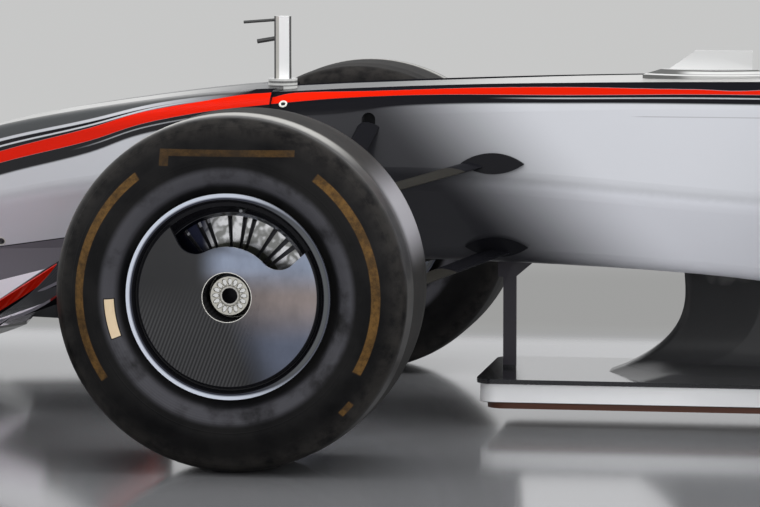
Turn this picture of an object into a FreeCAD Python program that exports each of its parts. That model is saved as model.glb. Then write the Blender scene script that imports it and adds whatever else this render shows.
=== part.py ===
import FreeCAD, Part

import math
import os
from collections import namedtuple

# Open wheel single seater racing car with slick tyres, a low drooping nose, covered front wheels,
# a full width front wing and a narrow, tall rear wing. Lengths are in millimetres. +X points
# forward, +Y to the car's left and +Z up. The origin is on the ground, midway between the front
# wing's leading edge and the rear wing's trailing edge.

V = FreeCAD.Vector
ALONG = V(1, 0, 0)
ACROSS = V(0, 1, 0)
UP = V(0, 0, 1)
ORIGIN = V(0, 0, 0)

# Driving dimensions of the whole car
wheelbase = 3150
front_overhang = 1100
rear_overhang = 580
overall_width = 1800
front_tyre_diameter = 652
rear_tyre_diameter = 660
reference_height = 48
step_height = 46
roll_hoop_height = 1000

# Clearances and the overrun of a cut
seat_gap = 0.3
running_gap = 0.3
overrun = 60

half_width = overall_width / 2
nose_end_x = (front_overhang + wheelbase + rear_overhang) / 2
front_axle_x = nose_end_x - front_overhang
rear_axle_x = front_axle_x - wheelbase
front_axle_z = front_tyre_diameter / 2
rear_axle_z = rear_tyre_diameter / 2
step_z = reference_height + step_height

# Survival cell, its cockpit and its front bulkhead
joint_ahead = 48
tub_length = 2100
tub_half = 280
tub_top = 672
tub_wall = 26
cockpit_front_behind = 1000
cockpit_length = 690
cockpit_half = 205
footwell_behind = 290
dash_behind = 930
dash_thickness = 20
tub_corner = 62

# Nose
nose_length = 1000
nose_half = 216
nose_top = 648
nose_corner = 52

# Front wing
wing_chord = 440
wing_ground_gap = 78
wing_thickness = 26
wing_neutral_half = 250
flap_chord = 190
flap_thickness = 9
flap_slot = 14
flap_start_share = 0.86
flap_step_share = 0.25
endplate_thickness = 12
endplate_height = 250
endplate_length = 640
pylon_thickness = 14
pylon_apart = 250

# Wheels and tyres
front_tyre_width = 335
rear_tyre_width = 375
tyre_wall = 14
shoulder_radius = 34
bead_radius = 1
tread_share = 0.83
rim_flange_radius = 187
rim_barrel_radius = 164
rim_well_radius = 150
rim_wall = 7
rim_inset = 12
spoke_depth = 74
spoke_thickness = 16
hub_radius = 46
nut_radius = 35
nut_height = 32
nut_bore_radius = 14
nut_bore_depth = 34
nut_pocket_radius = 5
nut_pocket_count = 16
nut_foot_share = 1.2
hub_ring_share = 1.7
spindle_radius = 22
spindle_length = 130
fairing_thickness = 4
fairing_hole_radius = 45
fairing_gap = 12
fairing_dome = 8

Wheel = namedtuple("Wheel", "x z width diameter")
front_wheel = Wheel(front_axle_x, front_axle_z, front_tyre_width, front_tyre_diameter)
rear_wheel = Wheel(rear_axle_x, rear_axle_z, rear_tyre_width, rear_tyre_diameter)

# Uprights and steering
kingpin_top_out = 618
kingpin_top_height = 428
kingpin_foot_out = 640
kingpin_foot_height = 205
kingpin_trail = 8
pin_radius = 6
eye_radius = 15
eye_height = 18
drum_radius = 134
drum_thickness = 84
drum_gap = 10
upright_thickness = 34
upright_width = 92
post_end_share = 0.36
pin_reach_share = 1.3
steering_arm = 95
track_rod_radius = 8
rack_radius = 12
rack_ahead = 88
rack_height = 372
rack_reach_share = 1.3
rod_eye_bore = 13
rod_eye_radius = 19

# Suspension links
arm_chord = 58
arm_thickness = 14
boot_proud = 5
arm_taper_share = 0.62
link_slot_gap = 5
pushrod_chord = 46
pushrod_arch_behind = 148
pushrod_arch_height = 573
pushrod_arch_width = 27
pushrod_arch_rise = 37
boot_behind = 394
boot_front_behind = 20
boot_upper_height = 517
boot_lower_height = 349
boot_length = 124
boot_height = 40

# Splitter, floor, plank and diffuser
splitter_behind = 355
splitter_half = 185
splitter_lip = 9
splitter_lip_proud = 6
splitter_corner = 34
plank_thickness = 12
floor_thickness = 8
floor_half = 700
floor_waist_half = 500
diffuser_rise = 175
diffuser_length = 330
stay_behind = 400
stay_chord = 26
stay_thickness = 8
bracket_behind = 378
bracket_length = 82
bracket_drop = 40
bracket_thickness = 26
strake_count = 6
plank_inset = 10
tub_underside_share = 0.47

# Sidepods and engine cover
pod_length = 1820
pod_front_behind = 1230
pod_half = 710
pod_height = 620
pod_corner = 55
inlet_depth = 420
inlet_lip = 16
cover_length = 1560
cover_front_behind = 1720
cover_half = 300
cover_corner = 46
cover_wall = 12
airbox_depth = 300

# Exhaust tail pipes
exhaust_radius = 36
exhaust_wall = 4

# Engine and gearbox
engine_length = 570
engine_width = 480
engine_height = 370
gearbox_length = 860
gearbox_half = 118
gearbox_height = 300
crash_length = 205
rain_light_length = 26

# Rear wing
rear_wing_span = 750
rear_wing_chord = 330
rear_flap_chord = 170
rear_wing_thickness = 30
rear_endplate_thickness = 10
rear_endplate_length = 460
rear_endplate_foot = 200
beam_chord = 180

# Small pieces on the body
mast_height = 126
mast_chord = 34
mast_thickness = 12
mast_foot_share = 0.97
mast_seat_share = 1.017
probe_radius = 3
fin_length = 170
fin_height = 37
fin_base_height = 16
fin_thickness = 5
fin_base_length = 260
fin_base_taper_share = 0.72
fin_base_bulge_share = 0.3
fin_flat_share = 0.655
mirror_width = 170
mirror_height = 62
mirror_depth = 55
mirror_out = 400
mirror_glass_share = 0.86
# Mirror and camera housings: place along their length, and size
mirror_shares = ((0, 0.5), (0.3, 0.86), (1, 1))
camera_pod_shares = ((1, 0.45), (0.75, 0.95), (0.3, 1), (0, 0.5))
camera_pod_seat_share = 0.975
camera_pod_length = 190
camera_pod_half = 24
steering_wheel_width = 280
steering_wheel_height = 180
steering_wheel_depth = 30
# Steering wheel's outline and grip openings, as shares of its half width and half height
wheel_plate_shares = ((1, 0.7), (0.8, 1), (-0.8, 1), (-1, 0.7), (-0.94, -0.8), (-0.6, -1), (-0.3, -0.62), (0.3, -0.62),
                      (0.6, -1), (0.94, -0.8))
grip_hole_shares = ((0.12, 0.45), (-0.12, 0.4), (-0.1, -0.4), (0.08, -0.5))
grip_middle_share = 0.66
seat_thickness = 24
screen_thickness = 5
screen_height = 62
screen_length_share = 0.22
collar_width = 44
collar_height = 66
collar_start_share = 0.28


def wire_through(points):
    """A closed wire of straight edges through the points."""
    return Part.makePolygon(points + points[:1])


def rounded_wire(points, radii):
    """A closed planar wire whose corners are arcs, each limited by the edges beside it."""
    count = len(points)
    arcs = []
    for i, corner in enumerate(points):
        before = points[i - 1] - corner
        after = points[(i + 1) % count] - corner
        room = min(before.Length, after.Length) * 0.46
        half_angle = before.getAngle(after) / 2
        radius = min(radii[i], room * math.tan(half_angle))
        reach = radius / math.tan(half_angle)
        before.normalize()
        after.normalize()
        middle = before + after
        middle.normalize()
        start = corner + before * reach
        end = corner + after * reach
        centre = corner + middle * (radius / math.sin(half_angle))
        arcs.append((start, centre - middle * radius, end))
    edges = []
    for i, (start, middle, end) in enumerate(arcs):
        edges.append(Part.Arc(start, middle, end).toShape())
        edges.append(Part.makeLine(end, arcs[(i + 1) % count][0]))
    return Part.Wire(edges)


def loft(wires, ruled=False):
    """A solid through the wires."""
    return Part.makeLoft(wires, True, ruled)


def extrude(wire, way):
    return Part.Face(wire).extrude(way)


def mirrored(shape):
    """The same piece on the car's other side."""
    return shape.mirror(ORIGIN, ACROSS)


def box(x_low, x_high, y_low, y_high, z_low, z_high):
    return Part.makeBox(x_high - x_low, y_high - y_low, z_high - z_low, V(x_low, y_low, z_low))


def fused(shapes):
    whole = shapes[0].multiFuse(shapes[1:]) if len(shapes) > 1 else shapes[0]
    return whole.removeSplitter()


def revolved(profile, x, z, smooth_radii=None):
    """Turns a profile of (y, radius) points about the axle through x and z."""
    points = [V(x + radius, y, z) for y, radius in profile]
    wire = rounded_wire(points, smooth_radii) if smooth_radii else wire_through(points)
    return Part.Face(wire).revolve(V(x, 0, z), ACROSS, 360)


def rod(start, end, radius):
    return Part.makeCylinder(radius, (end - start).Length, start, end - start)


def body_section(x, corners, radius, grow):
    """A symmetric rounded section at x, through (half width, height) corners from floor to top."""
    low = min(z for _, z in corners)
    high = max(z for _, z in corners)
    middle = (low + high) / 2
    right = []
    for half, z in corners:
        lift = grow if z > middle else -grow
        right.append((half + grow, z + (lift if z in (low, high) else 0)))
    left = [(-half, z) for half, z in reversed(right)]
    points = [V(x, y, z) for y, z in right + left]
    return rounded_wire(points, [max(radius + grow, seat_gap)] * len(points))


def body_loft(front_x, length, half, top, shares, radius, grow=0, first=0, last=None):
    """A body along -X or +X through sections given as shares of its length, half width and top."""
    rows = shares[first:last]
    wires = []
    for along, *corners in rows:
        places = [(half * across, top * up) for across, up in corners]
        wires.append(body_section(front_x + length * along, places, radius, grow))
    return loft(wires)


# Monocoque: along, then lower, widest and upper corner
tub_shares = (
    (0.00, (0.46, 0.478), (0.77, 0.72), (0.64, 0.954)),
    (0.12, (0.46, 0.473), (0.80, 0.72), (0.66, 0.974)),
    (0.24, (0.50, 0.467), (0.84, 0.71), (0.68, 0.988)),
    (0.38, (0.58, 0.450), (0.91, 0.68), (0.72, 0.998)),
    (0.50, (0.64, 0.410), (0.97, 0.66), (0.80, 1.005)),
    (0.63, (0.70, 0.300), (1.00, 0.64), (0.88, 1.025)),
    (0.76, (0.76, 0.190), (1.00, 0.60), (0.90, 1.050)),
    (0.88, (0.80, 0.160), (0.98, 0.56), (0.86, 1.060)),
    (1.00, (0.82, 0.155), (0.94, 0.52), (0.74, 1.040)),
)
tub_front_x = front_axle_x + joint_ahead
dash_foot_share = 0.72
cockpit_sill_share = 0.80
pushrod_arch_depth_share = 0.57
footwell_x = front_axle_x - footwell_behind
cockpit_front_x = front_axle_x - cockpit_front_behind
cockpit_rear_x = cockpit_front_x - cockpit_length


def tub_body(grow=0):
    return body_loft(tub_front_x, -tub_length, tub_half, tub_top, tub_shares, tub_corner, grow)


# Cockpit opening: along it, half its width
opening_shares = ((0.00, 0.34), (0.10, 0.62), (0.42, 0.98), (0.72, 1.00), (0.94, 0.86), (1.00, 0.60))


def opening_outline(z, grow=0):
    right = []
    for along, across in opening_shares:
        spread = grow * (2 * along - 1)
        right.append(V(cockpit_front_x - cockpit_length * along - spread, cockpit_half * across + grow, z))
    left = [V(p.x, -p.y, p.z) for p in reversed(right)]
    radius = cockpit_half * 0.5
    return rounded_wire(right + left, [radius] * (2 * len(right)))


def cockpit_cavity(shrink):
    """The space inside the cell, from the pedals to the seat back, set in from its outside."""
    inner = tub_body(-shrink)
    room = box(cockpit_rear_x, footwell_x, -half_width, half_width, 0, roll_hoop_height)
    return inner.common(room)


def pushrod_arch(side):
    """The arched pocket in the cell's side above the pushrod's entry."""
    x = front_axle_x - pushrod_arch_behind
    half = pushrod_arch_width / 2
    spring = pushrod_arch_height + pushrod_arch_rise - half
    near, far = sorted((side * tub_half * pushrod_arch_depth_share, side * half_width))
    hole = box(x - half, x + half, near, far, pushrod_arch_height, spring)
    return fused([hole, rod(V(x, near, spring), V(x, far, spring), half)])


def make_monocoque():
    shell = tub_body()
    dash_x = front_axle_x - dash_behind
    dash = box(dash_x - dash_thickness, dash_x, -half_width, half_width, tub_top * dash_foot_share, roll_hoop_height)
    cavity = cockpit_cavity(tub_wall).cut(dash)
    mouth = extrude(opening_outline(tub_top * cockpit_sill_share), UP * roll_hoop_height)
    hub, towards = steering_column_line()
    column_hole = rod(hub + towards * steering_wheel_width, hub - towards * (steering_wheel_behind / 3),
                      column_radius + running_gap)
    shell = shell.cut(cavity).cut(mouth).cut(column_hole)
    for side in (1, -1):
        shell = shell.cut(pushrod_arch(side))
    housing = rod(V(rack_x, -rack_housing_half, rack_height), V(rack_x, rack_housing_half, rack_height),
                  rack_radius * 2)
    foot = box(tub_front_x, rack_x, -rack_housing_half, rack_housing_half,
               rack_height - rack_radius, rack_height + rack_radius)
    bar_bore = rod(V(rack_x, -half_width, rack_height), V(rack_x, half_width, rack_height),
                   rack_radius + running_gap)
    return fused([shell, housing, foot]).cut(bar_bore)


rack_x = front_axle_x + rack_ahead
rack_housing_half = nose_half * 0.6
column_radius = 11
column_tilt = 14
steering_wheel_behind = 1150
steering_wheel_z = 585


def steering_column_line():
    """Centre of the steering wheel's hub, and the direction towards the driver."""
    tilt = math.radians(column_tilt)
    return V(front_axle_x - steering_wheel_behind, 0, steering_wheel_z), V(-math.cos(tilt), 0, math.sin(tilt))


def make_nose():
    body = nose_body()
    room = rack_radius * 3
    pocket = box(tub_front_x, rack_x + room, -rack_housing_half - overrun, rack_housing_half + overrun,
                 rack_height - room, rack_height + room)
    slots = box(tub_front_x, rack_x + track_rod_radius * 3, -half_width, half_width,
                rack_height - room, rack_height + track_rod_radius * 2)
    pylons = [nose_pylon(side) for side in (1, -1)]
    return fused([body.cut(pocket).cut(slots)] + pylons)


# Nose: along, then lower, widest and upper corner
nose_shares = (
    (0.00, (0.60, 0.497), (1.00, 0.755), (0.83, 1.000)),
    (0.20, (0.58, 0.490), (0.96, 0.740), (0.80, 0.973)),
    (0.45, (0.55, 0.470), (0.88, 0.690), (0.73, 0.915)),
    (0.68, (0.50, 0.445), (0.78, 0.610), (0.64, 0.822)),
    (0.86, (0.44, 0.430), (0.66, 0.550), (0.52, 0.700)),
    (0.96, (0.34, 0.430), (0.52, 0.515), (0.40, 0.620)),
    (1.00, (0.20, 0.455), (0.32, 0.505), (0.24, 0.560)),
)


def nose_body(grow=0):
    return body_loft(tub_front_x, nose_length, nose_half, nose_top, nose_shares, nose_corner, grow)


# Pylon outline, as shares of the nose's length and of its top height
pylon_shares = ((0.38, 0.520), (0.90, 0.480), (0.93, 0.300), (0.88, 0.150), (0.72, 0.150), (0.71, 0.250),
                (0.64, 0.355), (0.55, 0.410), (0.46, 0.446))


def nose_pylon(side):
    y = side * pylon_apart / 2 - pylon_thickness / 2
    points = [V(tub_front_x + nose_length * a, y, nose_top * b) for a, b in pylon_shares]
    plate = extrude(rounded_wire(points, [nose_corner] * len(points)), ACROSS * pylon_thickness)
    return plate.cut(front_wing_plane(seat_gap))


def wing_section(x_front, y, z_front, chord, thickness, camber_share, angle, grow=0):
    """A wing's closed profile: leading edge at x_front, trailing edge behind and above it."""
    upper, lower = [], []
    for along in foil_shares:
        arch = -4 * camber_share * along * (1 - along)
        half = thickness * foil_half_share(along) + grow
        upper.append((along * chord, arch * chord + half))
        lower.append((along * chord, arch * chord - half))
    turn = math.radians(angle)
    points = []
    for run, rise in upper[::-1] + lower[1:]:
        points.append(V(x_front - run * math.cos(turn) + rise * math.sin(turn), y,
                        z_front + run * math.sin(turn) + rise * math.cos(turn)))
    curve = Part.BSplineCurve()
    curve.interpolate(points)
    return Part.Wire([curve.toShape(), Part.makeLine(points[-1], points[0])])


foil_shares = (0, 0.03, 0.12, 0.3, 0.5, 0.75, 1)


def foil_half_share(along):
    """Half the thickness of a wing section along its chord, as a share of its greatest."""
    return 1.3 * math.sqrt(along) - 1.1 * along - 0.1 * along ** 3


wing_front_x = nose_end_x
wing_half = half_width - endplate_thickness
# Main plane: across, lift, chord and camber
front_plane_shares = ((-1, 0.1, 0.8, 0.06), (-0.62, 0, 0.9, 0.08), (-0.3, 0.45, 0.72, 0.03),
                      (0.3, 0.45, 0.72, 0.03), (0.62, 0, 0.9, 0.08), (1, 0.1, 0.8, 0.06))
front_plane_angle = 3
flap_rise_share = 0.36
flap_middle_share = 0.45
flap_lift_shares = (1, 0.6, -0.6)
flap_chord_shares = (1, 1, 0.95)
flap_camber_share = 0.07
flap_angle = 24
flap_angle_step = 12


def front_wing_plane(grow=0):
    """The main plane: flat in the middle, arched and loaded outboard."""
    wires = []
    for across, lift, chord, camber in front_plane_shares:
        z = wing_ground_gap + wing_thickness * lift
        wires.append(wing_section(wing_front_x, wing_half * across, z, wing_chord * chord,
                                  wing_thickness, camber, front_plane_angle, grow))
    return loft(wires, True)


def front_flap(number):
    """One of the two flaps behind the main plane, on the left side."""
    start = wing_front_x - wing_chord * (flap_start_share + flap_step_share * number)
    rise = wing_ground_gap + wing_thickness + flap_slot + number * flap_chord * flap_rise_share
    tip = wing_half - seat_gap
    wires = []
    stations = (wing_neutral_half, tip * flap_middle_share, tip)
    for y, lift, chord in zip(stations, flap_lift_shares, flap_chord_shares):
        wires.append(wing_section(start, y, rise + lift * flap_slot, flap_chord * chord, flap_thickness,
                                  flap_camber_share, flap_angle + flap_angle_step * number))
    return loft(wires, True)


def front_flaps():
    return Part.makeCompound([front_flap(0), front_flap(1)])


# Front endplate outline, as shares of its length and height
front_endplate_shares = ((0, 0.08), (0.03, 0.62), (0.3, 0.9), (0.55, 1), (1, 1), (1, 0.2), (0.85, 0))


def front_endplate():
    foot = wing_ground_gap - flap_slot
    points = [V(wing_front_x - endplate_length * a, wing_half, foot + endplate_height * b)
              for a, b in front_endplate_shares]
    return extrude(rounded_wire(points, [flap_slot] * len(points)), ACROSS * endplate_thickness)


keel_behind = 600
keel_length = 760
keel_edge_radius = 28
keel_rise = 240
keel_tip_half = 30
# Keel: height above the step plane, how far behind its tip and shoulders stand, half widths there and at the rear
keel_foot_shares = ((0.00, 0.000, 0.100, 0.95, 1.30), (0.05, 0.040, 0.170, 0.80, 1.16),
                    (0.11, 0.074, 0.250, 0.52, 1.04))
keel_stem_shares = (keel_foot_shares[-1], (0.23, 0.128, 0.330, 0.46, 1.00), (0.44, 0.180, 0.380, 0.46, 1.00),
                    (0.65, 0.194, 0.400, 0.46, 1.00), (1.02, 0.202, 0.410, 0.46, 1.02))
keel_half = 190


def keel_outline(up, tip, shoulder, wide, rear_wide):
    """A section of the keel from above: a blunt tip, shoulders behind it and a flat rear."""
    z = step_z + keel_rise * up
    tip_x = front_axle_x - keel_behind - keel_length * tip
    shoulder_x = front_axle_x - keel_behind - keel_length * shoulder
    rear_x = front_axle_x - keel_behind - keel_length
    right = [V(tip_x, keel_tip_half, z), V(shoulder_x, keel_half * wide, z), V(rear_x, keel_half * rear_wide, z)]
    left = [V(p.x, -p.y, p.z) for p in reversed(right)]
    return rounded_wire(right + left, [keel_edge_radius] * (2 * len(right)))


def make_keel():
    """The keel under the cell, with a wide flared foot on the tray."""
    foot = loft([keel_outline(*row) for row in keel_foot_shares], True)
    stem = loft([keel_outline(*row) for row in keel_stem_shares])
    return fused([foot, stem]).cut(tub_body(seat_gap))


def splitter_outline(z, half, front, rear):
    points = [V(front, half, z), V(front, -half, z), V(rear, -half, z), V(rear, half, z)]
    sharp = splitter_corner / 10
    return rounded_wire(points, [splitter_corner, splitter_corner, sharp, sharp])


splitter_front_x = front_axle_x - splitter_behind
diffuser_front_x = rear_axle_x
diffuser_rear_x = rear_axle_x - diffuser_length
floor_front_x = front_axle_x - pod_front_behind + pod_corner


def make_splitter():
    """The tray with its thin proud lip, the stay on it, and the stay's bracket under the cell."""
    proud = splitter_lip_proud
    body = extrude(splitter_outline(reference_height, splitter_half - proud, splitter_front_x - proud, floor_front_x),
                   UP * (step_height - splitter_lip))
    lip = extrude(splitter_outline(step_z - splitter_lip, splitter_half, splitter_front_x, floor_front_x),
                  UP * splitter_lip)
    stay_x = front_axle_x - stay_behind
    under = tub_top * tub_underside_share
    stay = box(stay_x - stay_chord / 2, stay_x + stay_chord / 2, -stay_thickness / 2, stay_thickness / 2,
               step_z - splitter_lip / 2, under - bracket_drop / 2)
    front = front_axle_x - bracket_behind
    side = [V(front, 0, under - bracket_drop), V(front, 0, under + bracket_drop),
            V(front - bracket_length, 0, under + bracket_drop), V(front - bracket_length, 0, under),
            V(stay_x - stay_chord / 2, 0, under - bracket_drop)]
    outline = wire_through([p - ACROSS * (bracket_thickness / 2) for p in side])
    bracket = extrude(outline, ACROSS * bracket_thickness)
    return biggest(fused([body, lip, stay, bracket]).cut(tub_body(seat_gap)))


# Floor: along from the sidepods' front to the rear axle, then half its width
floor_shares = ((0.00, 0.36), (0.05, 0.80), (0.20, 1.00), (0.62, 1.00), (0.78, 0.72), (1.00, 0.70))


def make_floor():
    length = floor_front_x - rear_axle_x
    right = [V(floor_front_x - length * a, floor_half * b, step_z - floor_thickness) for a, b in floor_shares]
    left = [V(p.x, -p.y, p.z) for p in reversed(right)]
    plate = extrude(rounded_wire(right + left, [pod_corner] * (2 * len(right))), UP * floor_thickness)
    middle = box(rear_axle_x, floor_front_x, -splitter_half, splitter_half,
                 reference_height, step_z - floor_thickness / 2)
    return fused([plate, middle])


def diffuser_guard():
    """All that lies under the diffuser ramp's top, on the left side."""
    rise = reference_height + diffuser_rise + seat_gap
    side = [V(diffuser_front_x, 0, 0), V(diffuser_rear_x, 0, 0), V(diffuser_rear_x, 0, rise),
            V(diffuser_front_x, 0, step_z + seat_gap)]
    return extrude(wire_through(side), ACROSS * half_width)


def make_diffuser():
    """The ramp behind the rear axle and the strakes under it."""
    half = floor_waist_half
    rise = reference_height + diffuser_rise
    front, rear = diffuser_front_x - seat_gap, diffuser_rear_x
    side = [V(front, -half, step_z - floor_thickness), V(rear, -half, rise - floor_thickness),
            V(rear, -half, rise), V(front, -half, step_z)]
    pieces = [extrude(wire_through(side), ACROSS * 2 * half)]
    for i in range(strake_count):
        y = -half + (2 * half - floor_thickness) * i / (strake_count - 1)
        outer = i in (0, strake_count - 1)
        foot = reference_height + (plank_thickness if outer else 0)
        fence = [V(front, y, foot), V(rear, y, foot + step_height / 2), V(rear, y, rise - floor_thickness / 2),
                 V(front, y, step_z - floor_thickness / 2)]
        pieces.append(extrude(wire_through(fence), ACROSS * floor_thickness))
    return fused(pieces)


def make_plank():
    outline = splitter_outline(reference_height - plank_thickness, splitter_half - plank_inset,
                               splitter_front_x - plank_inset * 2, rear_axle_x)
    return extrude(outline, UP * plank_thickness)


# Sidepod: along, then five corners from the inner floor edge round to the inner top edge
pod_shares = (
    (0.00, (0.28, 0.42), (0.72, 0.42), (0.96, 0.62), (0.90, 0.97), (0.28, 1.00)),
    (0.14, (0.28, 0.22), (0.72, 0.22), (0.99, 0.58), (0.92, 0.98), (0.28, 1.02)),
    (0.30, (0.28, 0.162), (0.76, 0.162), (1.00, 0.52), (0.90, 0.94), (0.28, 1.00)),
    (0.50, (0.24, 0.162), (0.76, 0.162), (0.92, 0.44), (0.78, 0.84), (0.24, 0.94)),
    (0.68, (0.20, 0.162), (0.60, 0.162), (0.72, 0.36), (0.58, 0.70), (0.20, 0.82)),
    (0.84, (0.14, 0.162), (0.42, 0.162), (0.50, 0.30), (0.38, 0.56), (0.14, 0.66)),
    (1.00, (0.08, 0.170), (0.28, 0.170), (0.34, 0.28), (0.25, 0.46), (0.08, 0.50)),
)
pod_front_x = front_axle_x - pod_front_behind
# Tail pipe: places as shares of the wheelbase, half width and tyre, and its closed start
exhaust_front_share = (0.720, 0.235, 0.785)
exhaust_rear_share = (0.815, 0.235, 0.815)
exhaust_closed_share = 0.45


def pod_loft(shrink=0, last=None):
    """The left sidepod's form, its sections set in by the shrink."""
    wires = []
    for along, *corners in pod_shares[:last]:
        middle_y = sum(a for a, _ in corners) / len(corners) * pod_half
        middle_z = sum(b for _, b in corners) / len(corners) * pod_height
        points = []
        for across, up in corners:
            y, z = pod_half * across, pod_height * up
            points.append(V(pod_front_x - pod_length * along, y - math.copysign(shrink, y - middle_y),
                            z - math.copysign(shrink, z - middle_z)))
        wires.append(rounded_wire(points, [pod_corner - shrink] * len(points)))
    return loft(wires)


def sidepod():
    whole = pod_loft()
    duct = pod_loft(inlet_lip).common(box(pod_front_x - inlet_depth, pod_front_x + overrun, 0, half_width,
                                          0, roll_hoop_height))
    keep_inside = box(pod_front_x - inlet_depth, pod_front_x + overrun, 0, tub_half + inlet_lip,
                      0, roll_hoop_height)
    whole = whole.cut(duct.cut(keep_inside))
    whole = whole.cut(tub_body(seat_gap)).cut(cover_body(seat_gap)).cut(keel_guard()).cut(engine_space())
    for hole in rear_link_slots() + [diffuser_guard(), floor_guard(), exhaust_pipe(seat_gap)]:
        whole = whole.cut(hole)
    return biggest(whole)


def exhaust_pipe(grow=0):
    """The left tail pipe as a full rod, grown all round."""
    start, end = place(*exhaust_front_share), place(*exhaust_rear_share)
    way = (end - start).normalize()
    return rod(start - way * grow, end + way * grow, exhaust_radius + grow)


def exhaust():
    """The left exhaust's tail pipe, lying in the sidepod's falling top."""
    start, end = place(*exhaust_front_share), place(*exhaust_rear_share)
    bore = rod(start + (end - start) * exhaust_closed_share, end, exhaust_radius - exhaust_wall)
    return biggest(exhaust_pipe().cut(cover_body(seat_gap)).cut(bore))


def floor_guard():
    return box(rear_wing_x, nose_end_x, 0, half_width, 0, step_z + seat_gap)


def keel_guard():
    rear = front_axle_x - keel_behind - keel_length - seat_gap
    half = keel_half * keel_foot_shares[0][-1] + seat_gap
    return box(rear, pod_front_x + overrun, -half, half, 0, step_z + keel_rise)


def biggest(shape):
    return max(shape.Solids, key=lambda solid: solid.Volume)


# Engine cover: along, then lower, widest, shoulder and upper corner
cover_shares = (
    (0.00, (0.74, 0.50), (0.84, 0.62), (0.56, 0.80), (0.30, 0.955)),
    (0.15, (0.88, 0.30), (0.90, 0.58), (0.42, 0.78), (0.25, 0.965)),
    (0.36, (0.98, 0.11), (0.86, 0.52), (0.30, 0.68), (0.15, 0.90)),
    (0.60, (0.90, 0.11), (0.66, 0.44), (0.22, 0.56), (0.10, 0.74)),
    (0.84, (0.66, 0.12), (0.48, 0.36), (0.18, 0.44), (0.09, 0.56)),
    (1.00, (0.50, 0.14), (0.36, 0.30), (0.16, 0.37), (0.08, 0.44)),
)
cover_front_x = front_axle_x - cover_front_behind


def cover_body(grow=0):
    return body_loft(cover_front_x, -cover_length, cover_half, roll_hoop_height, cover_shares, cover_corner, grow)


def make_engine_cover():
    shell = cover_body()
    cavity = cover_body(-cover_wall).common(
        box(engine_front_x - cover_length, engine_front_x + overrun / 2, -half_width, half_width,
            0, roll_hoop_height))
    intake = cover_body(-inlet_lip).common(
        box(cover_front_x - airbox_depth, cover_front_x + overrun, -half_width, half_width,
            roll_hoop_height * airbox_foot_share, roll_hoop_height))
    below = box(cover_front_x - cover_length, cover_front_x + overrun, -half_width, half_width,
                0, step_z + seat_gap)
    shell = shell.cut(cavity).cut(intake).cut(tub_body(seat_gap)).cut(below)
    shell = shell.cut(gearbox_body(cover_wall)).cut(engine_space())
    for slot in rear_link_slots() + [diffuser_guard()]:
        shell = shell.cut(slot).cut(mirrored(slot))
    return biggest(shell)


airbox_foot_share = 0.79
engine_front_x = tub_front_x - tub_length
gearbox_front_x = engine_front_x - engine_length


def make_engine_block():
    return box(gearbox_front_x, engine_front_x, -engine_width / 2, engine_width / 2,
               step_z, step_z + engine_height)


def engine_space():
    gap = running_gap * 6
    half = engine_width / 2 + gap
    return box(gearbox_front_x - running_gap, engine_front_x + running_gap, -half, half,
               0, step_z + engine_height + gap)


# Gearbox: along, then lower, widest and upper corner
gearbox_shares = (
    (0.00, (0.90, 0.44), (1.00, 1.00), (0.80, 1.50)),
    (0.40, (0.72, 0.46), (0.84, 1.00), (0.66, 1.44)),
    (0.80, (0.56, 0.60), (0.66, 1.00), (0.52, 1.36)),
    (1.00, (0.50, 0.80), (0.56, 1.02), (0.46, 1.28)),
)


crash_z = gearbox_height * 1.05
crash_half_share = 0.46
crash_taper_share = 0.6


def gearbox_body(grow=0):
    return body_loft(gearbox_front_x, -gearbox_length, gearbox_half, gearbox_height, gearbox_shares,
                     cover_corner / 2, grow)


def square_ring(x, half, z):
    """A rounded square across the car, centred at a height."""
    corners = [V(x, half, z - half), V(x, half, z + half), V(x, -half, z + half), V(x, -half, z - half)]
    return rounded_wire(corners, [half / 3] * len(corners))


def make_crash_structure():
    front = gearbox_front_x - gearbox_length
    wide = gearbox_half * crash_half_share
    rings = [square_ring(front, wide, crash_z), square_ring(front - crash_length, wide * crash_taper_share, crash_z)]
    return loft(rings)


def make_rain_light():
    rear = gearbox_front_x - gearbox_length - crash_length
    return extrude(square_ring(rear, gearbox_half * crash_half_share * crash_taper_share, crash_z),
                   ALONG * -rain_light_length)


rear_wing_x = rear_axle_x - rear_overhang
rear_wing_half = rear_wing_span / 2
# Rear wing planes: how far ahead of the rear end in chords, how far under the top, and camber
rear_plane_shares = (0.309, 0.155, 0.09)
rear_flap_shares = (0, 0.098, 0.07)
beam_shares = (0.35, 0.62, 0.06)
rear_plane_angle = 12
rear_flap_angle = 34


def make_rear_wing():
    """Main plane, flap and lower beam, between the endplates."""
    half = rear_wing_half - rear_endplate_thickness - seat_gap
    planes = []
    for chord, thickness, row in ((rear_wing_chord, rear_wing_thickness, rear_plane_shares),
                                  (rear_flap_chord, rear_wing_thickness / 2, rear_flap_shares),
                                  (beam_chord, rear_wing_thickness / 2, beam_shares)):
        ahead, down, camber = row
        front = rear_wing_x + chord * (1 + ahead)
        z = roll_hoop_height * (1 - down)
        angle = rear_flap_angle if row is rear_flap_shares else rear_plane_angle
        planes.append(loft([wing_section(front, y, z, chord, thickness, camber, angle) for y in (-half, half)], True))
    planes[-1] = planes[-1].cut(crash_clear())
    return Part.makeCompound(planes)


def crash_clear():
    return box(rear_wing_x - overrun, gearbox_front_x, -gearbox_half, gearbox_half,
               crash_z - gearbox_half, crash_z + gearbox_half)


# Rear endplate outline, as shares of its length and of the height above its foot
rear_endplate_shares = ((0.10, 0.00), (0.04, 0.30), (0.16, 0.55), (0.06, 0.80), (0.10, 1.00), (1.00, 1.00),
                        (1.00, 0.55), (0.88, 0.40), (0.92, 0.00))


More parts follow.
